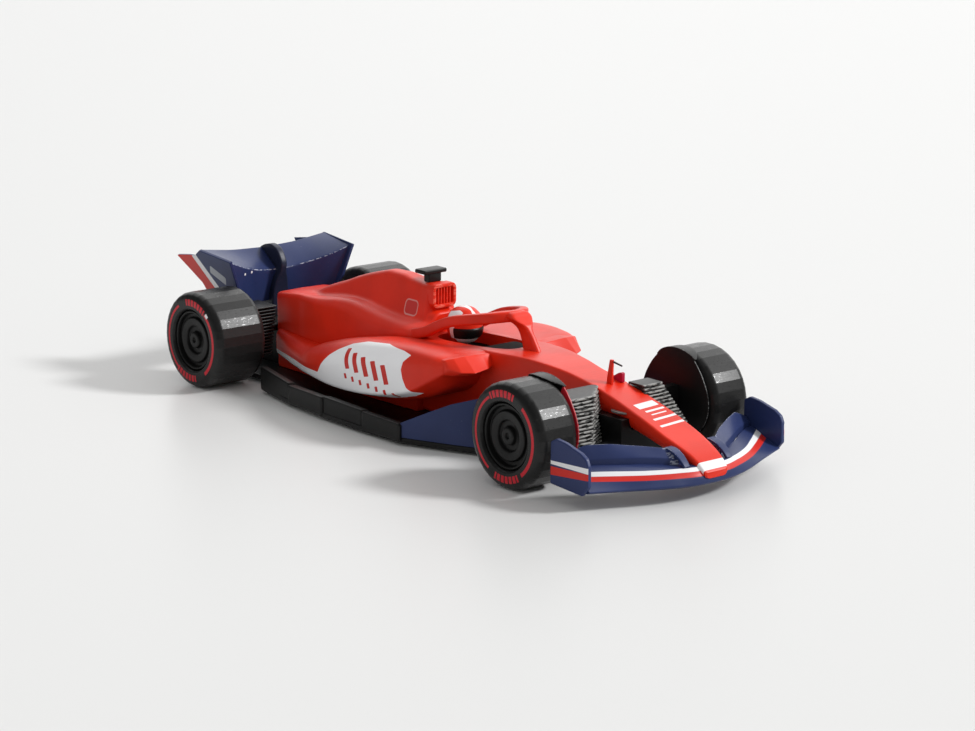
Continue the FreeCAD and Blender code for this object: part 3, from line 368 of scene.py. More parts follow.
def lofted(rows: Rows, radius: float, middle: float = 0.0) -> np.ndarray:
    """Soft edged bar along X from a table.

    Args:
        rows: x, half width, low and high of every station.
        radius: radius of the long edges.
        middle: y of the middle line.

    Returns:
        Rows of rings.
    """
    x, values = stations(rows, 30, 0.3)
    half, low, high = values.T
    corners = points(x[:, None], columns(half, half, -half, -half) + middle,
                     columns(low, high, high, low))
    grid, _ = rounded(corners, radius, 5, 2)
    return eased_ends(grid, x, radius)


def revolved(profile: np.ndarray, centre: Point, sign: int, sides: int,
             phase: float = 0.0) -> np.ndarray:
    """Profile turned about an axle along Y.

    Formula: (x + r cos a, sign (y + out), z + r sin a) for each radius r and offset out.

    Args:
        profile: rows of (radius, out).
        centre: middle of the wheel, with y as a distance from the middle plane.
        sign: -1 on the right, 1 on the left.
        sides: number of sides.
        phase: turn of the first side, as a share of a side.

    Returns:
        Grid of rows x sides x 3.
    """
    angle = (np.arange(sides) + phase) * 2 * np.pi / sides
    radius, out = profile[:, :1], profile[:, 1:]
    return np.stack([centre[0] + radius * np.cos(angle),
                     sign * (centre[1] + out + 0 * angle),
                     centre[2] + radius * np.sin(angle)], axis=2)


class Form:
    """Closed shells gathered into one mesh, in millimetres."""

    def __init__(self) -> None:
        """Start with no shells."""
        self.points: list[np.ndarray] = []
        self.faces: list[list[int]] = []
        self.values: dict[str, list[np.ndarray]] = {}
        self.total = 0

    def add(self, grid: np.ndarray, **values: np.ndarray) -> "Form":
        """Add a tube of rings, closed at both ends by flat caps.

        Args:
            grid: rows x points x 3.
            values: named value of every point, rows x points.

        Returns:
            This form.
        """
        rows, count = grid.shape[:2]
        index = self.total + np.arange(rows * count).reshape(rows, count)
        beside = np.roll(index, -1, axis=1)
        quads = np.stack([index[:-1], beside[:-1], beside[1:], index[1:]], axis=2).reshape(-1, 4)
        self.faces += quads.tolist() + [index[0][::-1].tolist(), index[-1].tolist()]
        self.points.append(grid.reshape(-1, 3))
        for name in sorted(set(self.values) | set(values)):
            got = values.get(name, np.zeros((rows, count))).reshape(-1)
            self.values.setdefault(name, [np.zeros(self.total)] if self.total else []).append(got)
        self.total += rows * count
        return self

    def mesh(self, name: str, sharp: float = SHARP_ANGLE) -> bpy.types.Mesh:
        """Make the mesh, with faces outward and edges over an angle kept sharp.

        Args:
            name: name of the mesh.
            sharp: least angle of a sharp edge, in degrees.

        Returns:
            The mesh.
        """
        mesh = bpy.data.meshes.new(name)
        mesh.from_pydata((np.concatenate(self.points) * MM).tolist(), [], self.faces)
        for key, parts in self.values.items():
            layer = mesh.attributes.new(key, "FLOAT", "POINT")
            layer.data.foreach_set("value", np.concatenate(parts).astype(np.float32))
        outward(mesh)
        smooth(mesh, sharp)
        return mesh


def smooth(mesh: bpy.types.Mesh, sharp: float) -> None:
    """Shade a mesh smoothly, with edges over an angle in degrees kept sharp."""
    mesh.shade_smooth()
    mesh.set_sharp_from_angle(angle=math.radians(sharp))


def cut_out(mesh: bpy.types.Mesh, tool: bpy.types.Mesh) -> bpy.types.Mesh:
    """Mesh with another taken off it.

    Args:
        mesh: closed mesh.
        tool: closed mesh that is taken off.

    Returns:
        A new mesh.
    """
    base = bpy.data.objects.new("cut_base", mesh)
    knife = bpy.data.objects.new("cut_tool", tool)
    for item in (base, knife):
        bpy.context.scene.collection.objects.link(item)
    step = base.modifiers.new("cut", "BOOLEAN")
    step.object = knife
    step.operation = "DIFFERENCE"
    step.solver = "EXACT"
    graph = bpy.context.evaluated_depsgraph_get()
    result = bpy.data.meshes.new_from_object(base.evaluated_get(graph))
    result.name = mesh.name + "_cut"
    for item in (base, knife):
        bpy.data.objects.remove(item)
    smooth(result, SHARP_ANGLE)
    return result


def outward(mesh: bpy.types.Mesh, merge: float = 0.0) -> None:
    """Merge near points, if asked, and turn every face outwards.

    Args:
        mesh: the mesh.
        merge: distance in metres under which points merge, or 0.
    """
    work = bmesh.new()
    work.from_mesh(mesh)
    if merge:
        bmesh.ops.remove_doubles(work, verts=work.verts, dist=merge)
        bmesh.ops.dissolve_limit(work, angle_limit=math.radians(FLAT_ANGLE), verts=work.verts,
                                 edges=work.edges)
    bmesh.ops.recalc_face_normals(work, faces=work.faces)
    work.to_mesh(mesh)
    work.free()


# ---------------------------------------------------------------------------------------------
# Shader node groups
# ---------------------------------------------------------------------------------------------
Socket = bpy.types.NodeSocket
Value = Socket | float | tuple
Colour = tuple[float, float, float]
Span = tuple[Point, float, float]

ORIGIN = (0.0, 0.0, 0.0)
UP = (0.0, 0.0, 1.0)
AHEAD = (1.0, 0.0, 0.0)
EDGE = 0.00006              # half of the blur at a mark's edge, in metres
BADGE_EDGE = 0.00005        # the same at a badge's edge
TURN_EDGE = 0.006           # half of the blur at the end of a ring, in radians
BLOCK_GAP = (-0.72, -0.6)   # cosine at the gap's middle and at the block's edge
FLECK_EDGE = 0.08           # noise over which a fleck grows to its full paleness


class Graph:
    """Adds and joins nodes in one node tree."""

    def __init__(self, tree: bpy.types.NodeTree) -> None:
        """Work in a node tree."""
        self.tree = tree

    def add(self, kind: str, inputs: dict | None = None, **settings: object) -> bpy.types.Node:
        """Add a node.

        Args:
            kind: type name of the node.
            inputs: socket name or number to a value or to another node's output.
            settings: properties of the node.

        Returns:
            The node.
        """
        node = self.tree.nodes.new(kind)
        for key, value in settings.items():
            setattr(node, key, value)
        for key, value in (inputs or {}).items():
            self.put(node.inputs[key], value)
        return node

    def put(self, socket: Socket, value: Value) -> None:
        """Link an output to a socket, or set the socket's own value."""
        if isinstance(value, Socket):
            self.tree.links.new(value, socket)
        else:
            socket.default_value = value

    def math(self, operation: str, *values: Value, clamp: bool = False) -> Socket:
        """Result of a Math node on the values."""
        return self.add("ShaderNodeMath", dict(enumerate(values)), operation=operation,
                        use_clamp=clamp).outputs[0]

    def vector(self, operation: str, *values: Value) -> bpy.types.Node:
        """Vector Math node on the values."""
        return self.add("ShaderNodeVectorMath", dict(enumerate(values)), operation=operation)

    def split(self, vector: Value) -> Sequence[Socket]:
        """The three parts of a vector."""
        return self.add("ShaderNodeSeparateXYZ", {0: vector}).outputs

    def noise(self, place: Value, scale: float, detail: float) -> Socket:
        """Even noise at a scale."""
        return self.add("ShaderNodeTexNoise", {"Vector": place, "Scale": scale,
                                               "Detail": detail}).outputs[0]

    def step(self, value: Value, low: Value, high: Value) -> Socket:
        """Smooth rise from 0 at low to 1 at high."""
        return self.add("ShaderNodeMapRange",
                        {"Value": value, "From Min": low, "From Max": high},
                        interpolation_type="SMOOTHSTEP").outputs["Result"]

    def window(self, value: Value, low: Value, high: Value, soft: Value) -> Socket:
        """Mask that is 1 from low to high, with soft ends."""
        into, past = (self.step(value, self.math("SUBTRACT", at, soft),
                                self.math("ADD", at, soft)) for at in (low, high))
        return self.math("SUBTRACT", into, past, clamp=True)

    def distance(self, first: Value, second: Value) -> Socket:
        """Root of the sum of two squares."""
        return self.math("SQRT", self.math("ADD", self.math("MULTIPLY", first, first),
                                           self.math("MULTIPLY", second, second)))

    def mix(self, share: Value, first: Value, second: Value) -> Socket:
        """Colour between two colours."""
        node = self.add("ShaderNodeMix", data_type="RGBA")
        for socket, value in ((node.inputs[0], share), (node.inputs[6], first),
                              (node.inputs[7], second)):
            self.put(socket, value)
        return node.outputs[2]


class Group(Graph):
    """Shader node group of values, with its inputs read by name."""

    def __init__(self, name: str, inputs: dict[str, float | Point],
                 outputs: Sequence[str]) -> None:
        """Start the group.

        Args:
            name: name of the group.
            inputs: socket name to its starting value, a number or a vector.
            outputs: names of the value outputs.
        """
        super().__init__(bpy.data.node_groups.new(name, "ShaderNodeTree"))
        sockets = self.tree.interface
        for key, start in inputs.items():
            kind = "NodeSocketVector" if isinstance(start, tuple) else "NodeSocketFloat"
            sockets.new_socket(key, in_out="INPUT", socket_type=kind).default_value = start
        for key in outputs:
            sockets.new_socket(key, in_out="OUTPUT", socket_type="NodeSocketFloat")
        self.inside = {socket.name: socket for socket in self.add("NodeGroupInput").outputs}
        self.out = self.add("NodeGroupOutput")

    def __getitem__(self, name: str) -> Socket:
        """Input of the group."""
        return self.inside[name]

    def give(self, **results: Value) -> bpy.types.NodeTree:
        """Join the results to the outputs of their names, and return the group."""
        for key, value in results.items():
            self.put(self.out.inputs[key], value)
        return self.tree


class Effects:
    """Node groups that several finishes share."""

    def __init__(self) -> None:
        """Build every group once."""
        self.layers = self.print_layers()
        self.mottle = self.plastic_mottle()
        self.band = self.straight_band()
        self.badge = self.rounded_badge()
        self.ring = self.sidewall_ring()

    @staticmethod
    def print_layers() -> bpy.types.NodeTree:
        """Fine lines of level print layers, from a sine of the height that wavers a little.

        The groove output darkens the colour as painted shade between the layers.
        """
        g = Group("print_layers", {"Vector": ORIGIN, "Pitch": 0.0003, "Waver": 0.3},
                  ("Height", "Groove"))
        wobble = g.noise(g["Vector"], scale=180.0, detail=2.0)
        height = g.split(g["Vector"])[2]
        turns = g.math("ADD", g.math("DIVIDE", height, g["Pitch"]),
                       g.math("MULTIPLY", wobble, g["Waver"]))
        wave = g.math("SINE", g.math("MULTIPLY", turns, 2 * math.pi))
        rise = g.math("MULTIPLY_ADD", wave, 0.5, 0.5)
        return g.give(Height=rise, Groove=g.math("POWER", g.math("SUBTRACT", 1.0, rise), 3.0))

    @staticmethod
    def plastic_mottle() -> bpy.types.NodeTree:
        """Broad tone, fine grain and small flecks.

        The materials paint the flecks pale as painted glints, and make them glossier.
        """
        g = Group("plastic_mottle", {"Vector": ORIGIN, "Flecks": 0.72},
                  ("Shade", "Grain", "Fleck"))
        broad = g.noise(g["Vector"], scale=55.0, detail=3.0)
        along, drawn = (g.add("ShaderNodeMapping", {"Vector": g["Vector"], "Scale": scale})
                        for scale in ((1.0, 0.3, 1.0), (1.0, 0.4, 1.4)))
        grain = g.noise(along.outputs[0], scale=1400.0, detail=2.0)
        spots = g.noise(drawn.outputs[0], scale=1900.0, detail=1.0)
        fleck = g.step(spots, g["Flecks"], g.math("ADD", g["Flecks"], FLECK_EDGE))
        return g.give(Shade=broad, Grain=grain, Fleck=fleck)

    @staticmethod
    def straight_band() -> bpy.types.NodeTree:
        """Mask of a straight band: the distance along a direction lies between two values."""
        g = Group("straight_band", {"Vector": ORIGIN, "Direction": (1.0, 0.0, 0.0),
                                    "From": 0.0, "To": 1.0, "Soft": EDGE}, ("Mask",))
        along = g.vector("DOT_PRODUCT", g["Vector"], g["Direction"]).outputs["Value"]
        return g.give(Mask=g.window(along, g["From"], g["To"], g["Soft"]))

    @staticmethod
    def rounded_badge() -> bpy.types.NodeTree:
        """Masks of a box with round corners, filled and as a line, in a turned plane.

        Formula: the distance outside a box with round corners is the length of the part of the
        point that lies outside the box of the corners' middles, less the corner's radius.
        """
        g = Group("rounded_badge", {
            "Vector": ORIGIN, "Centre": ORIGIN, "Turn": ORIGIN, "Half": (0.001, 0.001, 0.001),
            "Corner": 0.0002, "Line": 0.0004}, ("Fill", "Outline"))
        rel = g.vector("SUBTRACT", g["Vector"], g["Centre"]).outputs[0]
        turned = g.add("ShaderNodeVectorRotate", {"Vector": rel, "Rotation": g["Turn"]},
                       rotation_type="EULER_XYZ", invert=True).outputs[0]
        corner = g.add("ShaderNodeCombineXYZ", {0: g["Corner"], 1: g["Corner"]}).outputs[0]
        inner = g.vector("SUBTRACT", g["Half"], corner).outputs[0]
        over = g.vector("SUBTRACT", g.vector("ABSOLUTE", turned).outputs[0], inner).outputs[0]
        x, y, depth = g.split(over)
        far = g.distance(g.math("MAXIMUM", x, 0.0), g.math("MAXIMUM", y, 0.0))
        near = g.math("MINIMUM", g.math("MAXIMUM", x, y), 0.0)
        gap = g.math("SUBTRACT", g.math("ADD", far, near), g["Corner"])
        line = g.math("SUBTRACT", g.math("ABSOLUTE", gap), g.math("MULTIPLY", g["Line"], 0.5))
        within = g.math("LESS_THAN", depth, 0.0)
        fill, outline = (g.math("MULTIPLY", g.step(edge, BADGE_EDGE, -BADGE_EDGE), within)
                         for edge in (gap, line))
        return g.give(Fill=fill, Outline=outline)

    @staticmethod
    def sidewall_ring() -> bpy.types.NodeTree:
        """Mask of ring segments about an axle, with even gaps when it is asked for blocks."""
        g = Group("sidewall_ring", {
            "Vector": ORIGIN, "Axle": ORIGIN, "Inner": 0.0135, "Outer": 0.0143, "Middle": 0.0,
            "Spread": 1.0, "Blocks": 0.0}, ("Mask",))
        x, _, z = g.split(g.vector("SUBTRACT", g["Vector"], g["Axle"]).outputs[0])
        wall = g.window(g.distance(x, z), g["Inner"], g["Outer"], EDGE)
        turn = g.math("ADD", g.math("SUBTRACT", g.math("ARCTAN2", z, x), g["Middle"]), math.pi)
        turn = g.math("SUBTRACT", g.math("FLOORED_MODULO", turn, 2 * math.pi), math.pi)
        within = g.step(g.math("ABSOLUTE", turn), g.math("ADD", g["Spread"], TURN_EDGE),
                        g.math("SUBTRACT", g["Spread"], TURN_EDGE))
        wave = g.math("COSINE", g.math("MULTIPLY", turn, g["Blocks"]))
        blocks = g.step(wave, *BLOCK_GAP)
        return g.give(Mask=g.math("MULTIPLY", g.math("MULTIPLY", wall, within), blocks))


# ---------------------------------------------------------------------------------------------
# Finishes
# ---------------------------------------------------------------------------------------------
@dataclass(frozen=True)
class Plastic:
    """Printed plastic of one colour."""

    name: str
    slot: str
    colour: Colour
    pale: Colour                 # colour of the pale edges, partly wear and partly painted highlight, and of the flecks, painted glints
    roughness: float = 0.42
    spread: float = 0.10         # range of the roughness
    layer: float = 0.10          # strength of the layer lines and of the painted shade in their grooves
    flecks: float = 0.76         # least noise that makes a fleck
    fleck_gloss: float = 0.04    # how much smoother a fleck is
    speckle: float = 0.04        # how pale a fleck is painted, as a painted glint
    rub: float = 0.46            # least grain at which an edge is painted pale, as wear and painted highlight
    shine: float = 0.35          # level of the mirrored light


RED = Plastic("red_print", "red_print", (0.74, 0.022, 0.004), (0.86, 0.20, 0.14),
              roughness=0.40, spread=0.08, layer=0.04, fleck_gloss=0.03, speckle=0.03, shine=0.38)
CRIMSON = Plastic("crimson_print", "red_print", (0.42, 0.006, 0.040), (0.70, 0.16, 0.20),
                  roughness=0.40, spread=0.08, layer=0.04, fleck_gloss=0.03, speckle=0.03)
NAVY = Plastic("navy_print", "navy_print", (0.021, 0.034, 0.113), (0.55, 0.58, 0.68),
               roughness=0.40, flecks=0.74, fleck_gloss=0.10, speckle=0.10)
# painted shade: a darker copy of the navy print, for the rear pylon
NAVY_SHADE = Plastic("dark_print", "navy_print", (0.013, 0.017, 0.040), (0.20, 0.22, 0.32))
BLACK = Plastic("black_print", "black_print", (0.006, 0.006, 0.006), (0.20, 0.20, 0.20),
                layer=0.20, flecks=0.72, fleck_gloss=0.06, speckle=0.05)
MATT = Plastic("matt_print", "black_print", (0.004, 0.004, 0.004), (0.06, 0.06, 0.06),
               roughness=0.60, spread=0.06, layer=0.05, flecks=0.80, fleck_gloss=0.02,
               speckle=0.02, shine=0.03)
# SLAT: its pale colour paints highlights on the slat noses, and its flecks are painted glints
SLAT = Plastic("slat_print", "black_print", (0.008, 0.008, 0.008), (0.46, 0.46, 0.44),
               spread=0.12, flecks=0.74, fleck_gloss=0.06, speckle=0.06, rub=0.40)
# the tyres' many pale flecks are painted glints
TYRE = Plastic("tyre_print", "tyre_print", (0.012, 0.012, 0.012), (0.40, 0.40, 0.39),
               roughness=0.34, layer=0.20, flecks=0.62, fleck_gloss=0.16, speckle=0.05)

WHITE_INK = (0.84, 0.84, 0.85)
# painted light: the side panels' white, brighter than WHITE_INK so that the panels on the shaded
# side read lighter
PANEL_LIT_INK = (0.95, 0.95, 0.97)
RED_INK = (0.62, 0.022, 0.014)
RING_INK = (0.58, 0.012, 0.026)
PALE_INK = (0.40, 0.42, 0.46)
# painted highlight: grey for the black nose fins, where they catch the light
FIN_HIGHLIGHT = (0.16, 0.16, 0.15)
# painted shade: blacker than the black print, for the axle blocks that sit in shade
SHADE_BLACK = (0.0015, 0.0015, 0.0016)
LINE_INK = (0.70, 0.26, 0.24)
FAINT_INK = (0.58, 0.035, 0.030)
ARM_INK = (0.03, 0.012, 0.012)
# painted shade: darkens the grooves between print layers
GROOVE_SHADE = (0.0, 0.0, 0.0)


@dataclass(frozen=True)
class Mark:
    """Something printed on a piece in another colour. Its sizes are in millimetres."""

    ink: Colour

    def mask(self, g: Graph, place: Socket, effects: Effects) -> Socket:
        """Mask of the mark in a material.

        Args:
            g: graph of the material.
            place: point of the surface in the solids' frame.
            effects: the shared node groups.

        Returns:
            1 on the mark and 0 off it.
        """
        raise NotImplementedError


@dataclass(frozen=True)
class Field(Mark):
    """Mark where a value stored on the mesh lies between two limits."""

    layer: str
    low: float
    high: float
    soft: float = 0.06

    def mask(self, g: Graph, place: Socket, effects: Effects) -> Socket:
        """Mask of the mark in a material."""
        value = g.add("ShaderNodeAttribute", attribute_name=self.layer).outputs["Fac"]
        into, past = (g.step(value, at - self.soft, at + self.soft)
                      for at in (self.low, self.high))
        return g.math("SUBTRACT", into, past, clamp=True)


@dataclass(frozen=True)
class Band(Mark):
    """Mark between two planes, limited by more pairs of planes."""

    spans: tuple[Span, ...]

    def mask(self, g: Graph, place: Socket, effects: Effects) -> Socket:
        """Mask of the mark in a material."""
        result: Value = 1.0
        for direction, low, high in self.spans:
            node = g.add("ShaderNodeGroup", {"Vector": place, "Direction": direction,
                                             "From": low * MM, "To": high * MM},
                         node_tree=effects.band)
            result = g.math("MULTIPLY", result, node.outputs["Mask"])
        return result


@dataclass(frozen=True)
class Badge(Mark):
    """Filled or outlined box with round corners in a turned plane."""

    centre: Point
    turn: Point
    half: Point
    corner: float
    line: float = 0.0

    def mask(self, g: Graph, place: Socket, effects: Effects) -> Socket:
        """Mask of the mark in a material."""
        turn = tuple(math.radians(angle) for angle in self.turn)
        node = g.add("ShaderNodeGroup", {
            "Vector": place, "Centre": scaled(self.centre), "Turn": turn,
            "Half": scaled(self.half), "Corner": self.corner * MM, "Line": self.line * MM},
            node_tree=effects.badge)
        return node.outputs["Outline" if self.line else "Fill"]


@dataclass(frozen=True)
class Ring(Mark):
    """Part of a ring about an axle, whole or in even blocks. Its angles are in degrees."""

    axle: Point
    inner: float
    outer: float
    middle: float
    spread: float
    blocks: float = 0.0

    def mask(self, g: Graph, place: Socket, effects: Effects) -> Socket:
        """Mask of the mark in a material."""
        node = g.add("ShaderNodeGroup", {
            "Vector": place, "Axle": scaled(self.axle), "Inner": self.inner * MM,
            "Outer": self.outer * MM, "Middle": math.radians(self.middle),
            "Spread": math.radians(self.spread), "Blocks": self.blocks},
            node_tree=effects.ring)
        return node.outputs["Mask"]


@dataclass(frozen=True)
class Limited(Mark):
    """Another mark, kept between two planes."""

    mark: Mark
    span: Span

    def mask(self, g: Graph, place: Socket, effects: Effects) -> Socket:
        """Mask of the mark in a material."""
        span = Band(self.ink, (self.span,)).mask(g, place, effects)
        return g.math("MULTIPLY", span, self.mark.mask(g, place, effects))


@dataclass(frozen=True)
class Coat:
    """Finish of a piece with everything printed on it."""

    finish: Plastic
    name: str = ""                  # name of a variant, or nothing for the plain finish
    marks: Sequence[Mark] = ()      # the last on top
    worn: bool = False              # whether edges stored on the mesh are painted pale, partly wear and partly painted highlight


def all_over(ink: Colour) -> Sequence[Mark]:
    """Ink over a whole piece."""
    return [Band(ink, ((UP, 0.0, 60.0),))]


def scaled(values: Sequence[float]) -> tuple[float, ...]:
    """Millimetres as metres."""
    return tuple(value * MM for value in values)


def opaque(colour: Colour, factor: float = 1.0) -> tuple[float, float, float, float]:
    """Colour made lighter or darker by a factor, with its alpha."""
    return (*(min(value * factor, 1.0) for value in colour), 1.0)


class Paintshop:
    """Makes materials from finishes and marks."""

    shade_range = (0.35, 0.68)      # broad noise at the darkest and lightest tone
    tones = (0.93, 1.07)            # share of the colour there
    rub_edge = (0.55, 1.0)          # stored edge value where the pale edge starts and is full; partly wear, partly painted highlight
    rub_range = 0.14                # grain over which the pale edge grows
    rub_share = 0.8
    grain_relief = 0.35
    bump = (0.35, 0.00005)          # strength, and depth in metres
    plastic_ior = 1.46

    def __init__(self) -> None:
        """Build the shared effects."""
        self.effects = Effects()
        self.made: dict[str, bpy.types.Material] = {}

    def material(self, coat: Coat) -> bpy.types.Material:
        """Material of a coat, with its marks printed in.

        Formula: over the mottled colour lie the marks, painted shade in the grooves between the
        layers, the pale edges of wear and painted highlight and the flecks painted pale as
        glints, in that order; the relief is the layers and the grain.

        Args:
            coat: the finish with everything printed on it.

        Returns:
            The material, made once for each name.
        """
        finish = coat.finish
        key = coat.name or finish.name
        if key in self.made:
            return self.made[key]
        material = bpy.data.materials.new(key)
        material.use_nodes = True
        material.node_tree.nodes.clear()
        g = Graph(material.node_tree)
        place = g.add("ShaderNodeTexCoord").outputs["Object"]
        layers = g.add("ShaderNodeGroup", {"Vector": place},
                       node_tree=self.effects.layers).outputs
        mottle = g.add("ShaderNodeGroup", {"Vector": place, "Flecks": finish.flecks},
                       node_tree=self.effects.mottle).outputs
        colour: Value = g.mix(g.step(mottle["Shade"], *self.shade_range),
                              *(opaque(finish.colour, tone) for tone in self.tones))
        for mark in coat.marks:
            colour = g.mix(mark.mask(g, place, self.effects), colour, opaque(mark.ink))
        # painted shade in the grooves between print layers
        colour = g.mix(g.math("MULTIPLY", layers["Groove"], finish.layer / 2), colour,
                       opaque(GROOVE_SHADE))
        # pale edges: partly rubbed wear, partly painted highlight on edges that catch the light
        if coat.worn:
            edge = g.add("ShaderNodeAttribute", attribute_name="crease").outputs["Fac"]
            rub = g.math("MULTIPLY", g.step(edge, *self.rub_edge),
                         g.step(mottle["Grain"], finish.rub, finish.rub + self.rub_range))
            colour = g.mix(g.math("MULTIPLY", rub, self.rub_share), colour, opaque(finish.pale))
        # pale flecks: painted glints, beside the glossier flecks in the roughness
        fleck = g.math("MULTIPLY", mottle["Fleck"], finish.speckle)
        colour = g.mix(fleck, colour, opaque(finish.pale))
        rough = g.math("ADD", finish.roughness - finish.spread / 2,
                       g.math("MULTIPLY", mottle["Grain"], finish.spread))
        rough = g.math("SUBTRACT", rough,
                       g.math("MULTIPLY", mottle["Fleck"], finish.fleck_gloss))
        relief = g.math("ADD", g.math("MULTIPLY", layers["Height"], finish.layer),
                        g.math("MULTIPLY", mottle["Grain"], self.grain_relief))
        strength, depth = self.bump
        bump = g.add("ShaderNodeBump", {"Height": relief, "Strength": strength,
                                        "Distance": depth})
        shader = g.add("ShaderNodeBsdfPrincipled", {
            "Base Color": colour, "Roughness": rough, "Normal": bump.outputs[0],
            "Metallic": 0.0, "IOR": self.plastic_ior, "Specular IOR Level": finish.shine})
        out = g.add("ShaderNodeOutputMaterial")
        g.put(out.inputs["Surface"], shader.outputs[0])
        self.made[key] = material
        return material


# ---------------------------------------------------------------------------------------------
# Pieces
# ---------------------------------------------------------------------------------------------
@dataclass
class Assembly:
    """Common work of every sub-assembly: it places pieces and dresses them."""

    paint: Paintshop

    def place(self, name: str, mesh: bpy.types.Mesh, coat: Coat, node: str,
              body: str = Body.CAR.value, bevel: float = 0.0) -> None:
        """Put a finished mesh into the scene as a piece.

        Args:
            name: name of the piece.
            mesh: its mesh, in the solids' frame.
            coat: what dresses all its faces.
            node: solid that it stands for.
            body: rigid body that it rides on.
            bevel: width of softened edges in millimetres, or 0.
        """
        piece = bpy.data.objects.new(name, mesh)
        bpy.context.scene.collection.objects.link(piece)
        mesh.materials.clear()
        mesh.materials.append(self.paint.material(coat))
        if bevel:
            soft = piece.modifiers.new("softened_edges", "BEVEL")
            soft.width = bevel * MM
            soft.segments = 2
            soft.limit_method = "ANGLE"
            soft.angle_limit = math.radians(SOLID_ANGLE)
            soft.harden_normals = True
        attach(piece, body)
        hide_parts(node)
        LOG.info("%s: %d faces on %s", name, len(mesh.polygons), body)

    def softened(self, node: str, coat: Coat, bevel: float) -> None:
        """Stand a copy of a solid with merged faces and softened edges in its place.

        Args:
            node: the solid.
            coat: what dresses all its faces.
            bevel: width of the softened edges in millimetres.
        """
        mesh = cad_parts[node].data.copy()
        mesh.name = node + "_soft"
        outward(mesh, merge=1e-6)
        smooth(mesh, SOLID_ANGLE)
        self.place(node + "_soft", mesh, coat, node, bevel=bevel)


@dataclass
class SurvivalCell(Assembly):
    """Nose and survival cell in one shell."""

    rows: tuple = (
        # x, ridge, crown, waist, waist_up, belly, low
        (132.6, 5.0, 9.5, 5.2, 8.7, 4.6, 7.2),
        (129.6, 5.6, 12.3, 5.9, 10.9, 5.0, 9.0),
        (125.0, 6.3, 14.9, 6.6, 12.8, 5.6, 10.6),
        (114.0, 7.4, 19.0, 7.7, 16.4, 6.4, 13.6),
        (104.0, 7.4, 22.4, 7.8, 19.2, 6.4, 16.2),
        (84.0, 6.9, 27.8, 7.6, 23.6, 6.4, 19.6),
        (72.0, 7.0, 30.1, 8.2, 24.6, 7.0, 19.8),
        (60.0, 8.6, 31.8, 9.6, 24.0, 8.6, 16.6),
        (47.5, 10.6, 32.6, 11.2, 22.0, 9.6, 9.0),
        (33.5, 12.2, 32.2, 12.8, 22.0, 10.0, 3.0),
        (15.0, 12.2, 31.2, 13.2, 22.0, 10.0, 3.0),
        (0.0, 12.2, 30.6, 13.4, 22.0, 10.0, 3.0),
        (-7.5, 12.2, 30.8, 13.4, 22.0, 10.0, 3.0),
    )
    cockpit: tuple = ((36.5, 4.4), (31.5, 7.4), (22.5, 9.0), (6.5, 9.4), (0.5, 8.4), (-2.1, 5.0))
    cockpit_floor: float = 19.0
    cockpit_top: float = 40.0
    radii: tuple = (0.9, 2.0, 1.6)
    tip_radius: float = 0.5
    tip_band: tuple = ((0.952, 0, -0.305), 119.7, 122.6)
    bars: tuple = (
        # x, y, z, half width, half length
        (97.9, 0.9, 24.0, 4.6, 1.6), (101.4, 1.6, 22.9, 4.4, 0.5), (103.6, 1.4, 22.2, 3.6, 0.3),
        (106.3, 1.6, 21.4, 5.4, 0.55), (110.2, 1.2, 20.2, 5.6, 0.55),
    )
    lean: float = 17.6

    def build(self) -> None:
        """Build the nose and cell."""
        opening = Form().add(prism(self.cockpit, self.cockpit_floor, self.cockpit_top))
        self.place("nose_and_cell", cut_out(self.shell(), opening.mesh("cockpit_cut")),
                   self.coat(), "nose_and_tub")

    def shell(self) -> bpy.types.Mesh:
        """Loft the closed shell along X, from tail to tip."""
        x, v = stations(self.rows, 200, 0.5)
        corners = mirrored_ring(v[:, [0, 2, 4]], v[:, [1, 3, 5]], x)
        grid, _ = rounded(corners, self.radii + self.radii[::-1], turn=7, run=8)
        return Form().add(eased_ends(grid, x, self.tip_radius, Ends.LAST)).mesh("nose_and_cell")

    def coat(self) -> Coat:
        """Red with the white tip band and plain white bars on the nose."""
        marks = [Band(WHITE_INK, (self.tip_band, (UP, 8.0, 40.0)))]
        for x, y, z, half, long in self.bars:
            marks.append(Badge(WHITE_INK, (x, y, z), (0, self.lean, 4), (long, half, 2.0), 0.25))
        return Coat(RED, "red_nose", marks)


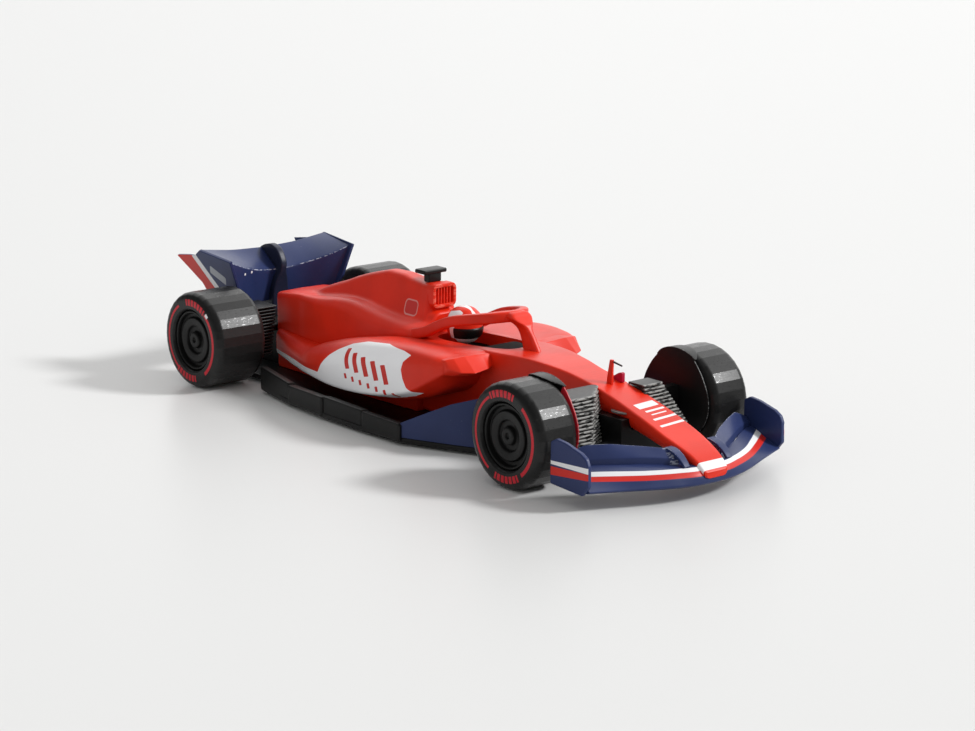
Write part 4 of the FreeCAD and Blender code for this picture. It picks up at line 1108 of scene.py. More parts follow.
@dataclass
class EngineCover(Assembly):
    """Steep spine over two level shoulders, behind the cockpit."""

    rows: tuple = (
        # x, spine, crown, foot, foot_up, crest, crest_up, ridge, ridge_up, base
        (-4.5, 3.8, 37.8, 6.8, 34.6, 11.2, 33.0, 13.4, 31.8, 13.0),
        (-7.2, 4.6, 38.6, 7.2, 34.8, 11.5, 33.0, 13.7, 31.5, 13.2),
        (-8.7, 4.8, 47.8, 7.3, 34.9, 11.6, 33.0, 13.8, 31.4, 13.2),
        (-14.0, 4.2, 47.4, 7.4, 34.9, 12.0, 33.2, 14.2, 31.2, 13.6),
        (-20.0, 3.9, 47.8, 7.4, 35.0, 12.2, 33.4, 14.4, 31.0, 13.8),
        (-27.0, 3.4, 48.6, 7.2, 35.3, 12.2, 33.9, 14.6, 31.2, 14.0),
        (-33.5, 3.0, 48.5, 6.9, 35.9, 12.2, 34.6, 14.6, 31.6, 14.0),
        (-40.0, 2.8, 47.1, 6.4, 36.4, 12.0, 35.5, 14.4, 32.4, 13.8),
        (-47.0, 2.5, 45.2, 6.0, 36.3, 11.6, 36.2, 14.0, 33.2, 13.4),
        (-54.0, 2.3, 42.9, 5.6, 35.8, 11.6, 35.7, 13.6, 33.2, 13.0),
        (-60.5, 2.2, 40.4, 5.2, 34.9, 11.4, 34.7, 13.2, 32.6, 12.6),
        (-66.5, 2.0, 38.4, 4.8, 33.8, 11.2, 33.9, 12.8, 32.2, 12.2),
        (-72.5, 1.8, 36.2, 4.4, 32.9, 11.0, 33.6, 12.4, 32.2, 11.8),
        (-77.5, 1.3, 34.0, 3.6, 32.8, 11.0, 33.4, 12.0, 32.2, 11.4),
        (-81.0, 1.1, 33.1, 3.6, 32.9, 11.0, 33.1, 12.0, 31.9, 11.4),
        (-91.2, 1.1, 32.1, 3.6, 32.0, 10.8, 31.9, 11.7, 30.8, 11.2),
    )
    foot: float = 3.0
    radii: tuple = (2.0, 1.6, 1.7, 1.3, 0.8)
    end_radius: float = 0.8
    badge: tuple = (-16.5, 7.0, 38.2)
    badge_half: tuple = (3.5, 2.6, 6.0)
    badge_corner: float = 1.6
    badge_line: float = 0.5

    def build(self) -> None:
        """Build the cover."""
        x, v = stations(self.rows, 170, 0.3)
        up = np.column_stack([v[:, [1, 3, 5, 7]], np.full(len(x), self.foot)])
        corners = mirrored_ring(v[:, [0, 2, 4, 6, 8]], up, x)
        grid, _ = rounded(corners, self.radii + self.radii[::-1], turn=9, run=4)
        form = Form().add(eased_ends(grid, x, self.end_radius))
        self.place("engine_cover_shell", form.mesh("engine_cover_shell"), self.coat(),
                   "engine_cover")

    def coat(self) -> Coat:
        """Red with a faint rounded square, outlined, on both sides of the spine."""
        x, y, z = self.badge
        marks = []
        for side in Side:
            for ink, line in ((FAINT_INK, 0.0), (LINE_INK, self.badge_line)):
                marks.append(Badge(ink, (x, side.value * y, z), (90, 0, 0), self.badge_half,
                                   self.badge_corner, line))
        return Coat(RED, "red_cover", marks)


@dataclass
class SidePods(Assembly):
    """Side bodies with their undercut lips and white side panels."""

    rows: tuple = (
        # x, inner, inner_up, ridge, ridge_up, side, side_up, lower, lower_up, foot, foot_up
        (31.5, 9.8, 31.8, 28.0, 31.4, 30.6, 29.6, 30.0, 26.6, 20.0, 25.6),
        (26.5, 9.8, 31.8, 29.6, 32.4, 32.8, 29.8, 32.0, 23.6, 25.4, 19.2),
        (15.0, 9.8, 31.0, 30.6, 33.2, 34.5, 29.0, 33.8, 17.2, 27.0, 13.8),
        (-9.5, 9.8, 29.2, 29.0, 31.0, 34.7, 25.6, 33.6, 11.8, 28.0, 10.0),
        (-31.0, 6.0, 25.4, 26.4, 26.8, 32.6, 20.6, 31.4, 10.0, 27.0, 8.6),
        (-51.5, 6.0, 20.2, 21.2, 20.8, 27.2, 16.2, 26.4, 9.4, 22.0, 8.0),
        (-62.0, 6.0, 16.6, 18.0, 17.4, 22.8, 14.2, 22.4, 8.6, 18.4, 7.6),
        (-72.5, 6.0, 17.2, 15.0, 17.2, 18.6, 13.8, 18.2, 8.0, 15.0, 7.2),
        (-90.0, 6.0, 18.8, 11.8, 18.4, 13.4, 16.0, 13.0, 9.0, 11.0, 7.6),
    )
    radii: tuple = (0.5, 6.0, 3.2, 1.0, 2.0, 0.5)
    end_radius: float = 1.4
    lip: tuple = (
        # out, top, top_up, lead, lead_up, under, under_up
        (9.8, 34.0, 31.2, 34.2, 27.6, 31.4, 25.6),
        (16.0, 33.8, 31.8, 37.6, 27.3, 34.2, 25.6),
        (23.3, 33.3, 32.0, 39.4, 27.1, 35.9, 25.6),
        (27.5, 32.4, 31.6, 37.0, 27.3, 33.4, 25.6),
        (30.3, 30.8, 31.0, 32.4, 28.2, 29.6, 25.8),
    )
    lip_back: float = 26.0
    lip_radii: tuple = (0.3, 0.25, 0.35, 0.3, 0.3)
    lip_end: float = 0.5
    panel: tuple = (
        (-92.0, 10.4), (-82.5, 10.5), (-72.2, 10.7), (-61.4, 11.3), (-49.2, 12.3), (-41.9, 12.9),
        (-38.3, 16.7), (-32.9, 21.2), (-28.4, 24.0), (-21.0, 27.3), (-11.0, 30.0), (-3.4, 31.3),
        (11.6, 31.2), (16.4, 30.6), (13.3, 27.8), (12.2, 24.8), (12.8, 21.7), (14.5, 18.8),
        (17.4, 17.6), (19.7, 17.3), (18.3, 16.2), (11.7, 13.9), (3.9, 12.5), (-11.7, 10.6),
        (-26.4, 9.7), (-35.7, 9.2), (-45.1, 8.8), (-57.5, 8.2), (-72.3, 7.4), (-92.0, 7.4),
    )
    panel_inside: float = 0.6       # how far inside the ridge the panel may reach
    off_panel: float = 50.0         # stored distance that is surely off the panel
    bars: tuple = (
        # count, first x, step, first z, fall of each, half length, half height, corner
        (5, -19.5, 5.6, 22.6, 0.35, 1.35, 3.5, 0.3),
        (7, -20.5, 4.6, 16.2, 0.3, 0.75, 0.95, 0.25),
    )
    bar_slant: float = -14.0

    def build(self) -> None:
        """Build both side bodies."""
        for side in Side:
            form = Form()
            self.add_pod(form, side)
            self.add_lip(form, side)
            name = f"sidepod_shell_{side.word}"
            self.place(name, form.mesh(name, 26), self.coat(), f"sidepod_{side.word}")

    def add_pod(self, form: Form, side: Side) -> None:
        """Loft the side body along X and store its distance from the panel's outline."""
        x, v = stations(self.rows, 190, 0.4)
        corners = points(x[:, None], side.value * v[:, [0, 2, 4, 6, 8, 0]],
                         v[:, [1, 3, 5, 7, 9, 9]])
        grid, _ = rounded(corners, self.radii, turn=9, run=12)
        grid = eased_ends(grid, x, self.end_radius)
        gap = signed_distance(grid[..., [0, 2]].reshape(-1, 2), np.asarray(self.panel))
        outside = np.abs(grid[..., 1]) > v[:, 2:3] - self.panel_inside
        form.add(grid, panel=gap.reshape(grid.shape[:2]) + np.where(outside, 0.0, self.off_panel))

    def add_lip(self, form: Form, side: Side) -> None:
        """Loft the lip outwards from the survival cell, straight between its stations."""
        keys, values = table(self.lip)
        out = spaced(keys[0], keys[-1], 70, 0.2)
        top, top_up, lead, lead_up, under, under_up = (
            np.interp(out, keys, column) for column in values.T)
        corners = points(columns(self.lip_back, top, lead, under, self.lip_back),
                         side.value * out[:, None],
                         columns(top_up, top_up, lead_up, under_up, under_up))
        grid, _ = rounded(corners, self.lip_radii, turn=6, run=6)
        grid = eased_ends(grid, out, self.lip_end, Ends.LAST)
        form.add(grid, panel=np.full(grid.shape[:2], self.off_panel))

    def coat(self) -> Coat:
        """Red with the white side panel and two plain rows of slanted red bars on it.

        The panel's white is brighter than the other white, as painted light on the shaded side.
        """
        marks = [Field(PANEL_LIT_INK, "panel", -60.0, 0.0)]
        for count, x, step, z, fall, half, tall, corner in self.bars:
            for index in range(count):
                marks.append(Badge(RED_INK, (x + step * index, 0, z - fall * index),
                                   (90, self.bar_slant, 0), (half, tall, 50.0), corner))
        return Coat(RED, "red_panelled", marks)


@dataclass
class Hoop(Assembly):
    """Hoop over the cockpit with its front pillar."""

    rows: tuple = (
        (-7.5, 12.0, 31.0), (0.0, 12.6, 33.2), (5.5, 12.6, 35.9), (13.0, 12.4, 39.0),
        (21.0, 11.2, 40.9), (27.8, 8.2, 42.2), (31.6, 3.8, 42.9), (32.8, 0.0, 43.0),
    )
    pillar: tuple = (
        # z, front, back, half
        (30.6, 47.6, 38.0, 1.9), (31.6, 46.6, 38.2, 1.4), (34.0, 44.9, 37.3, 1.15),
        (37.0, 42.8, 36.2, 1.15), (39.4, 41.0, 34.6, 1.5), (41.0, 39.9, 32.6, 2.4),
        (42.0, 38.4, 30.2, 3.6), (43.2, 36.8, 29.4, 4.4), (44.3, 35.6, 30.6, 3.8),
        (44.7, 34.8, 31.6, 3.0),
    )
    half_width: float = 1.6
    half_depth: float = 1.9
    corner: float = 0.8
    pillar_radius: float = 1.3

    def build(self) -> None:
        """Sweep the hoop and loft the pillar into one piece."""
        form = Form()
        self.add_bar(form)
        self.add_pillar(form)
        self.place("hoop_bars", form.mesh("hoop_bars", 40), Coat(RED, "red_hoop"), "halo")

    def add_bar(self, form: Form) -> None:
        """Carry a soft square along the hoop's middle line.

        Formula: the line flows through the rows by their running length; at each point the
        profile lies in the plane of the level sideways direction and the one above it.
        """
        half = np.asarray(self.rows) * (1, -1, 1)
        line = np.vstack([half, (half * (1, -1, 1))[-2::-1]])
        length = np.concatenate([[0], np.cumsum(np.linalg.norm(np.diff(line, axis=0), axis=1))])
        s = np.linspace(0, length[-1], 140)
        middle = flow(length, line, s)
        run = unit(np.gradient(middle, s, axis=0))
        aside = unit(np.cross(run, UP))
        above = np.cross(aside, run)
        ring = round_box(self.half_width, self.half_depth, self.corner, 6)
        form.add(middle[:, None] + aside[:, None] * ring[None, :, :1]
                 + above[:, None] * ring[None, :, 1:])

    def add_pillar(self, form: Form) -> None:
        """Loft level sections of the pillar, wider at the foot and the head."""
        z, values = stations(self.pillar, 60, 0.2)
        front, back, half = values.T
        corners = points(columns(front, front, back, back), columns(half, -half, -half, half),
                         z[:, None])
        form.add(rounded(corners, self.pillar_radius, turn=7, run=3)[0])


@dataclass
class Intake(Assembly):
    """Framed air intake with upright ribs."""

    front: float = -5.4
    length: float = 3.6
    half: float = 5.4
    low: float = 39.2
    high: float = 48.0
    corner: float = 2.2
    least_corner: float = 0.5
    wall: float = 1.4
    depth: float = 1.8
    lip: tuple = ((0.0, 0.45), (0.13, 0.13), (0.45, 0.0))       # set in, depth
    mouth: tuple = ((0.35, 0.0), (0.1, 0.1), (0.0, 0.35))       # short of the wall, depth
    rubbed: float = 0.9             # stored value of the frame's pale front, partly wear and partly painted highlight
    ribs: int = 5
    rib_half: float = 0.3
    rib_back: float = 0.35          # how far the ribs' front lies behind the frame's
    rib_radius: float = 0.18

    def build(self) -> None:
        """Build the frame and its ribs."""
        form = Form()
        self.add_frame(form)
        for index in range(1, self.ribs + 1):
            self.add_rib(form, index)
        # the frame's front and the ribs' edges are painted pale: partly wear, partly painted
        # highlight
        self.place("intake_frame", form.mesh("intake_frame"), Coat(RED, "red_intake", worn=True),
                   "air_intake")

    def add_frame(self, form: Form) -> None:
        """Carry the frame's profile round a box with round corners.

        Formula: each profile point is a set-in from the outer outline and a depth behind the
        front; the outline there is the outer one with its half sizes and corner made less.
        """
        profile = ((0.0, self.length), *self.lip,
                   *((self.wall - short, behind) for short, behind in self.mouth),
                   (self.wall, self.depth))
        middle, tall = (self.low + self.high) / 2, (self.high - self.low) / 2
        rings = []
        for inset, behind in profile:
            ring = round_box(self.half - inset, tall - inset,
                             max(self.corner - inset, self.least_corner))
            rings.append(columns(self.front - behind, ring[:, 0], ring[:, 1] + middle))
        grid = np.stack(rings)
        near = np.zeros(grid.shape[:2])
        near[2:6] = self.rubbed
        form.add(grid, crease=near)

    def add_rib(self, form: Form, index: int) -> None:
        """Loft one upright rib with a rounded front."""
        y = (self.half - self.wall) * (2 * index / (self.ribs + 1) - 1)
        half, front, back = self.rib_half, self.front - self.rib_back, self.front - self.depth
        z = np.linspace(self.low + self.wall, self.high - self.wall, 6)
        corners = points([[front, front, back, back]], [[y + half, y - half, y - half, y + half]],
                         z[:, None])
        grid, near = rounded(corners, self.rib_radius, turn=4, run=1)
        form.add(grid, crease=near)


@dataclass
class Driver(Assembly):
    """Helmet and visor."""

    centre: Point = (5.5, 0.0, 35.0)
    radius: float = 6.7
    power: float = 2.3
    stretch: Pair = (0.99, 0.94)    # share of the radius along X and along Y
    tilts: Pair = (-1.5, 1.53)      # angles of the lowest and the highest row, in radians
    visor_low: float = 30.8
    visor_high: float = 34.7
    visor_rows: int = 14
    visor_ease: float = 2.0         # rows over which its edges rise
    visor_proud: float = 0.4
    visor_deep: float = 0.6
    visor_spread: float = 78.0

    def surface_point(self, turn: np.ndarray, up: np.ndarray, proud: float) -> np.ndarray:
        """Point of the helmet's surface.

        Formula: an egg of circular sections about the upright axis, whose radius at a height
        share u is (1 - |u| to the power p) to the power 1 / p, a little longer forwards.

        Args:
            turn: angle about the upright axis from straight ahead.
            up: height from the middle as a share of the radius.
            proud: distance outside the surface.

        Returns:
            Points with the broadcast shape of the two arrays, and 3.
        """
        reach = (1 - np.minimum(np.abs(up), 1.0) ** self.power) ** (1 / self.power)
        out = self.radius * reach + proud
        return points(self.centre[0] + out * np.cos(turn) * self.stretch[0],
                      self.centre[1] + out * np.sin(turn) * self.stretch[1],
                      self.centre[2] + self.radius * up + 0 * turn)

    def build(self) -> None:
        """Build the helmet and its visor."""
        turn = np.linspace(0, 2 * np.pi, 72, endpoint=False)[None]
        up = np.sin(np.linspace(*self.tilts, 48))[:, None]
        shell = Form().add(self.surface_point(turn, up, 0.0))
        self.place("helmet_shell", shell.mesh("helmet_shell", 50), self.coat(), "driver_helmet")
        self.place("visor_band", self.visor(), Coat(BLACK), "helmet_visor")

    def visor(self) -> bpy.types.Mesh:
        """Band round the front of the helmet, proud of it but for its two edges."""
        spread, count = math.radians(self.visor_spread), self.visor_rows
        arc = np.linspace(-spread, spread, 40)[None]
        levels = (np.linspace(self.visor_low, self.visor_high, count)[:, None]
                  - self.centre[2]) / self.radius
        edge = np.minimum(np.arange(count), np.arange(count - 1, -1, -1)) / self.visor_ease
        outer = self.surface_point(arc, levels, 0.0)
        proud = self.visor_proud * np.sqrt(np.clip(edge, 0, 1))[:, None, None]
        outer = outer + unit(outer - np.asarray(self.centre)) * proud
        inner = self.surface_point(arc, levels, -self.visor_deep)[:, ::-1]
        return Form().add(np.concatenate([outer, inner], axis=1)).mesh("visor_band", 50)

    def coat(self) -> Coat:
        """Red with white side patches, chin and crown stripes."""
        x, _, z = self.centre
        above = (UP, z + 3.2, z + 9.0)
        spans = [((UP, z - 7.0, z - 3.9), (AHEAD, x + 1.0, x + 9.0)),
                 ((UP, z - 4.3, z + 0.2), (AHEAD, x - 0.8, x + 1.6)),
                 (((0.25, 1, 0), 1.9, 2.8), above),
                 (((0.25, -1, 0), 1.9, 2.8), above),
                 (((0, 1, 0), -0.5, 0.5), above)]
        for side in Side:
            spans.append((((-0.2, 0, 1), z + 0.6, z + 4.4), (AHEAD, x - 3.0, x + 3.2),
                          ((0, side.value, 0), 3.4, 9.0)))
        return Coat(RED, "red_helmet", [Band(WHITE_INK, span) for span in spans])


@dataclass
class Wheels(Assembly):
    """Faceted tyres with their printed rings, and the wheels' stepped covers."""

    radius: float = 18.0
    sides: int = 32
    rim: float = 11.5
    front_width: float = 17.2
    rear_width: float = 22.4
    wall: tuple = (
        # radius, set in from the half width, radius of the rounding
        (12.0, 0.15, 0.3), (15.4, 0.0, 1.2), (17.1, 0.8, 0.7),
    )
    bead: Pair = (0.9, 0.2)         # set in, rounding
    shoulder: Pair = (2.4, 0.8)     # set in, rounding
    face_in: float = 1.0            # set in of the cover's front
    steps: tuple = (
        # radius, set in from the cover's front
        (0.05, 1.2), (0.8, 1.2), (1.0, 0.55), (2.3, 0.5), (2.9, 0.7), (3.2, 2.1), (5.0, 2.1),
        (5.4, 1.0), (8.2, 0.7), (8.6, 1.9), (9.9, 1.9), (10.2, 0.2), (10.9, 0.1), (11.1, 0.5),
        (11.45, 0.9),
    )
    gap: float = 0.05               # clearance in the tyre, and what is left of the closed middle
    rim_back: Pair = (0.4, 0.3)     # set in of the rim's back, outside and inside
    hollow: Pair = (10.0, 4.2)      # radius, depth behind the cover's front
    sleeve: Point = (1.7, 3.4, 0.1)     # inner and outer radius, set in of its back
    bore_depth: float = 3.2         # the bore's end behind the cover's front
    cover_radius: float = 0.3
    outer_depth: float = 2.6        # how far in from its side a tyre is printed on
    arcs: tuple = (
        # inner and outer radius, middle and half spread in degrees
        (13.5, 14.8, 0.0, 52.0), (13.6, 14.5, 180.0, 58.0),
    )
    front_middles: Pair = (96.0, -84.0)     # middles of the rows of blocks
    rear_middles: Pair = (78.0, -102.0)
    block_ring: Pair = (13.1, 15.5)
    block_spread: float = 24.0
    block_count: float = 46.0       # blocks in a full turn
    tick: tuple = (14.2, 15.5, 47.0, 3.2)

    def build(self) -> None:
        """Build all four wheels."""
        for axle in Axle:
            for side in Side:
                self.build_one(axle, side)

    def build_one(self, axle: Axle, side: Side) -> None:
        """Build one tyre and one wheel on their body."""
        tag = f"{axle.value}_{side.word}"
        low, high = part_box(f"tyre_{tag}")
        middle = [(a + b) / 2 / MM for a, b in zip(low, high)]
        centre = (middle[0], abs(middle[1]), middle[2])
        half = (self.front_width if axle is Axle.FRONT else self.rear_width) / 2
        body = wheel_body(axle, side)
        phase = 0.5 if axle is Axle.FRONT else 0.0
        self.place(f"tyre_carcass_{tag}", self.tyre(centre, half, side, phase),
                   self.coat(axle, side, centre, half), f"tyre_{tag}", body)
        self.place(f"wheel_cover_{tag}", self.cover(centre, half, side), Coat(BLACK),
                   f"wheel_{tag}", body)

    def tyre(self, centre: Point, half: float, side: Side, phase: float) -> bpy.types.Mesh:
        """Revolve the tyre's rounded profile in flat facets, the first a share on."""
        outer = [(self.rim, half - self.bead[0], self.bead[1]),
                 *((r, half - inset, soft) for r, inset, soft in self.wall),
                 (self.radius, half - self.shoulder[0], self.shoulder[1])]
        inner = [(r, -out, soft) for r, out, soft in reversed(outer)]
        data = np.array([outer + inner])
        ring, _ = rounded(data * (1, 1, 0), data[0, :, 2], 8, 1)
        profile = np.roll(ring[0], -1, axis=0)[:, :2]
        grid = revolved(profile, centre, side.value, self.sides, phase)
        return self.facets(np.swapaxes(grid, 0, 1))

    def facets(self, grid: np.ndarray) -> bpy.types.Mesh:
        """Closed ring of strips, each flat across and smooth along the profile.

        Args:
            grid: sides x profile points x 3, closed both ways.

        Returns:
            The mesh, with the edges between facets kept sharp.
        """
        sides, count = grid.shape[:2]
        index = np.arange(sides * count).reshape(sides, count)
        beside = np.roll(index, -1, axis=1)
        ahead = np.roll(index, -1, axis=0)
        corner = np.roll(ahead, -1, axis=1)
        quads = np.stack([index, beside, corner, ahead], axis=2).reshape(-1, 4)
        mesh = bpy.data.meshes.new("tyre_facets")
        mesh.from_pydata((grid.reshape(-1, 3) * MM).tolist(), [], quads.tolist())
        outward(mesh)
        mesh.shade_smooth()
        ends = np.empty(len(mesh.edges) * 2, np.int32)
        mesh.edges.foreach_get("vertices", ends)
        side_of = ends.reshape(-1, 2) // count
        sharp = mesh.attributes.new("sharp_edge", "BOOLEAN", "EDGE")
        sharp.data.foreach_set("value", side_of[:, 0] == side_of[:, 1])
        return mesh

    def cover(self, centre: Point, half: float, side: Side) -> bpy.types.Mesh:
        """Revolve the wheel: stepped cover in front, hollow and sleeve behind."""
        face = half - self.face_in
        wide, deep = self.hollow
        pin, sleeve, end = self.sleeve
        front = [(r, face - inset) for r, inset in self.steps]
        behind = [(self.rim - self.gap, self.rim_back[0] - half), (wide, self.rim_back[1] - half),
                  (wide, face - deep), (sleeve, face - deep), (sleeve, end - half),
                  (pin, end - half), (pin, face - self.bore_depth),
                  (self.gap, face - self.bore_depth)]
        corners = np.array([[(r, out, 0.0) for r, out in front + behind]])
        ring, _ = rounded(corners, self.cover_radius, 4, 1)
        profile = ring[0][4:-5, :2]
        return Form().add(revolved(profile, centre, side.value, 96)).mesh("wheel_cover", 40)

    def coat(self, axle: Axle, side: Side, centre: Point, half: float) -> Coat:
        """Black with red ring arcs and plain red blocks on the outer sidewall."""
        hub = (centre[0], 0.0, centre[2])
        marks = [Ring(RING_INK, hub, *arc) for arc in self.arcs]
        for middle in self.front_middles if axle is Axle.FRONT else self.rear_middles:
            marks.append(Ring(RING_INK, hub, *self.block_ring, middle, self.block_spread,
                              self.block_count))
        if axle is Axle.REAR:
            marks.append(Ring(WHITE_INK, hub, *self.tick))
        side_at = centre[1] + half
        outer = ((0, side.value, 0), side_at - self.outer_depth, side_at + 1.0)
        return Coat(TYRE, f"tyre_{axle.value}_{side.word}",
                    [Limited(mark.ink, mark, outer) for mark in marks])


@dataclass
class Fittings(Assembly):
    """Small pieces: cockpit insert, probe, sensor, nose fins and the roof camera."""

    rim: tuple = ((36.4, 4.3), (31.5, 7.3), (22.5, 8.9), (6.5, 9.3), (0.5, 8.3), (-2.0, 4.9))
    well: Pair = (19.1, 26.6)
    dash: tuple = (
        # x, half width, low, high
        (21.6, 8.0, 26.0, 29.6), (24.0, 8.0, 26.0, 31.2), (30.0, 7.0, 26.0, 31.6),
        (35.0, 4.8, 26.0, 31.8),
    )
    dash_radius: float = 0.9
    sensor: tuple = (
        (77.9, 0.25, 28.4, 29.4), (80.2, 0.6, 28.3, 30.8), (82.2, 0.8, 28.2, 31.6),
        (83.0, 0.7, 28.3, 31.5),
    )
    sensor_middle: float = 4.6
    sensor_radius: float = 0.2
    post: tuple = (
        # z, back, front
        (28.0, 79.9, 82.6), (32.5, 80.6, 82.6), (36.6, 81.4, 82.7),
    )
    post_half: float = 0.5
    post_radius: float = 0.25
    arm: tuple = (
        # x, half width, low, high
        (81.6, 0.3, 35.9, 36.55), (87.1, 0.22, 35.1, 35.6),
    )
    arm_radius: float = 0.12
    arm_print: tuple = (82.9, 90.0)
    fin: tuple = (
        # out, back, front, middle height
        (6.3, 89.6, 98.2, 22.2), (8.2, 90.8, 97.4, 22.4), (9.8, 92.8, 95.8, 22.6),
    )
    fin_half: float = 0.28
    fin_radius: float = 0.2
    stem: tuple = ((-14.0, -2.9, 47.6), (-11.0, 2.9, 51.0))
    roof: tuple = ((-16.4, -5.2, 50.7), (-10.6, 5.2, 52.2))
    camera_corners: Pair = (0.4, 0.5)

    def build(self) -> None:
        """Build every small piece."""
        lining = Form().add(prism(self.rim, *self.well)).add(lofted(self.dash, self.dash_radius))
        sensor = Form().add(lofted(self.sensor, self.sensor_radius, self.sensor_middle))
        stem, roof = (soft_block(*box, corner) for box, corner in
                      zip((self.stem, self.roof), self.camera_corners))
        camera = Form().add(stem).add(roof)
        arm = Band(ARM_INK, ((AHEAD, *self.arm_print),))
        for name, form, coat, node in (
                ("cockpit_lining", lining, Coat(MATT), "cockpit_insert"),
                ("nose_sensor_wedge", sensor, Coat(CRIMSON), "nose_sensor"),
                ("nose_probe_blade", self.probe(), Coat(RED, "red_probe", [arm]), "nose_probe"),
                ("roof_camera_bar", camera, Coat(BLACK), "roof_camera")):
            self.place(name, form.mesh(name, 40), coat, node)
        for side in Side:
            # the black fins are painted grey all over as a painted highlight
            self.place(f"nose_fin_blade_{side.word}", self.blade(side),
                       Coat(BLACK, "grey_fin", all_over(FIN_HIGHLIGHT)), f"nose_fin_{side.word}")

    def probe(self) -> Form:
        """Leaning post with a thin arm forwards."""
        z, values = stations(self.post, 12)
        back, front = values.T
        half = self.post_half
        corners = points(columns(front, front, back, back), [[half, -half, -half, half]],
                         z[:, None])
        form = Form().add(rounded(corners, self.post_radius, 4, 1)[0])
        return form.add(lofted(self.arm, self.arm_radius))

    def blade(self, side: Side) -> bpy.types.Mesh:
        """Thin pointed fin that stands out from the nose."""
        out, values = stations(self.fin, 14)
        back, front, middle = values.T
        half = self.fin_half
        corners = points(columns(back, back, front, front), side.value * out[:, None],
                         columns(middle - half, middle + half, middle + half, middle - half))
        grid, _ = rounded(corners, self.fin_radius, 4, 2)
        return Form().add(grid).mesh("nose_fin_blade", 40)


@dataclass
class Underbody(Assembly):
    """Floor, its raised edges in plain blocks, the fences, diffuser and axle blocks."""

    blocks: tuple = (
        # x and out at the back, x and out at the front, thickness, top at the back and front
        (-70.6, 34.4, -47.6, 38.4, 3.2, 10.2, 8.9),
        (-47.9, 38.9, -24.3, 40.9, 3.6, 8.3, 8.7),
        (-24.7, 40.4, -1.4, 40.7, 3.4, 9.0, 8.6),
        (-1.8, 40.9, 19.6, 40.9, 3.4, 8.3, 8.0),
    )
    foot: float = 1.6
    radius: float = 0.6
    fall: float = 0.3               # how much lower a block's top is on its inner side
    bevel: float = 0.25
    fence_bevel: float = 0.3

    def build(self) -> None:
        """Build the raised edges and soften the other solids."""
        # the axle blocks are painted blacker than the print as painted shade
        deep = Coat(BLACK, "deep_black", all_over(SHADE_BLACK))
        for node, coat in (("floor", Coat(BLACK)), ("diffuser", Coat(BLACK)),
                           ("front_axle_block", deep), ("rear_axle_block", deep)):
            self.softened(node, coat, self.bevel)
        for side in Side:
            self.place(f"floor_edge_blocks_{side.word}", self.edge(side), Coat(BLACK),
                       f"floor_edge_{side.word}")
            self.softened(f"floor_fence_{side.word}", Coat(NAVY), self.fence_bevel)

    def edge(self, side: Side) -> bpy.types.Mesh:
        """Row of straight blocks along the floor, each set off a little from the last."""
        form = Form()
        for back, back_out, front, front_out, thick, top_back, top_front in self.blocks:
            x = spaced(back, front, 16, 0.6)
            share = (x - back) / (front - back)
            out = back_out + (front_out - back_out) * share
            top = top_back + (top_front - top_back) * share
            corners = points(x[:, None], side.value * columns(out, out, out - thick, out - thick),
                             columns(self.foot, top, top - self.fall, self.foot))
            grid, _ = rounded(corners, self.radius, 5, 3)
            form.add(eased_ends(grid, x, self.radius))
        return form.mesh("floor_edge_blocks", 40)


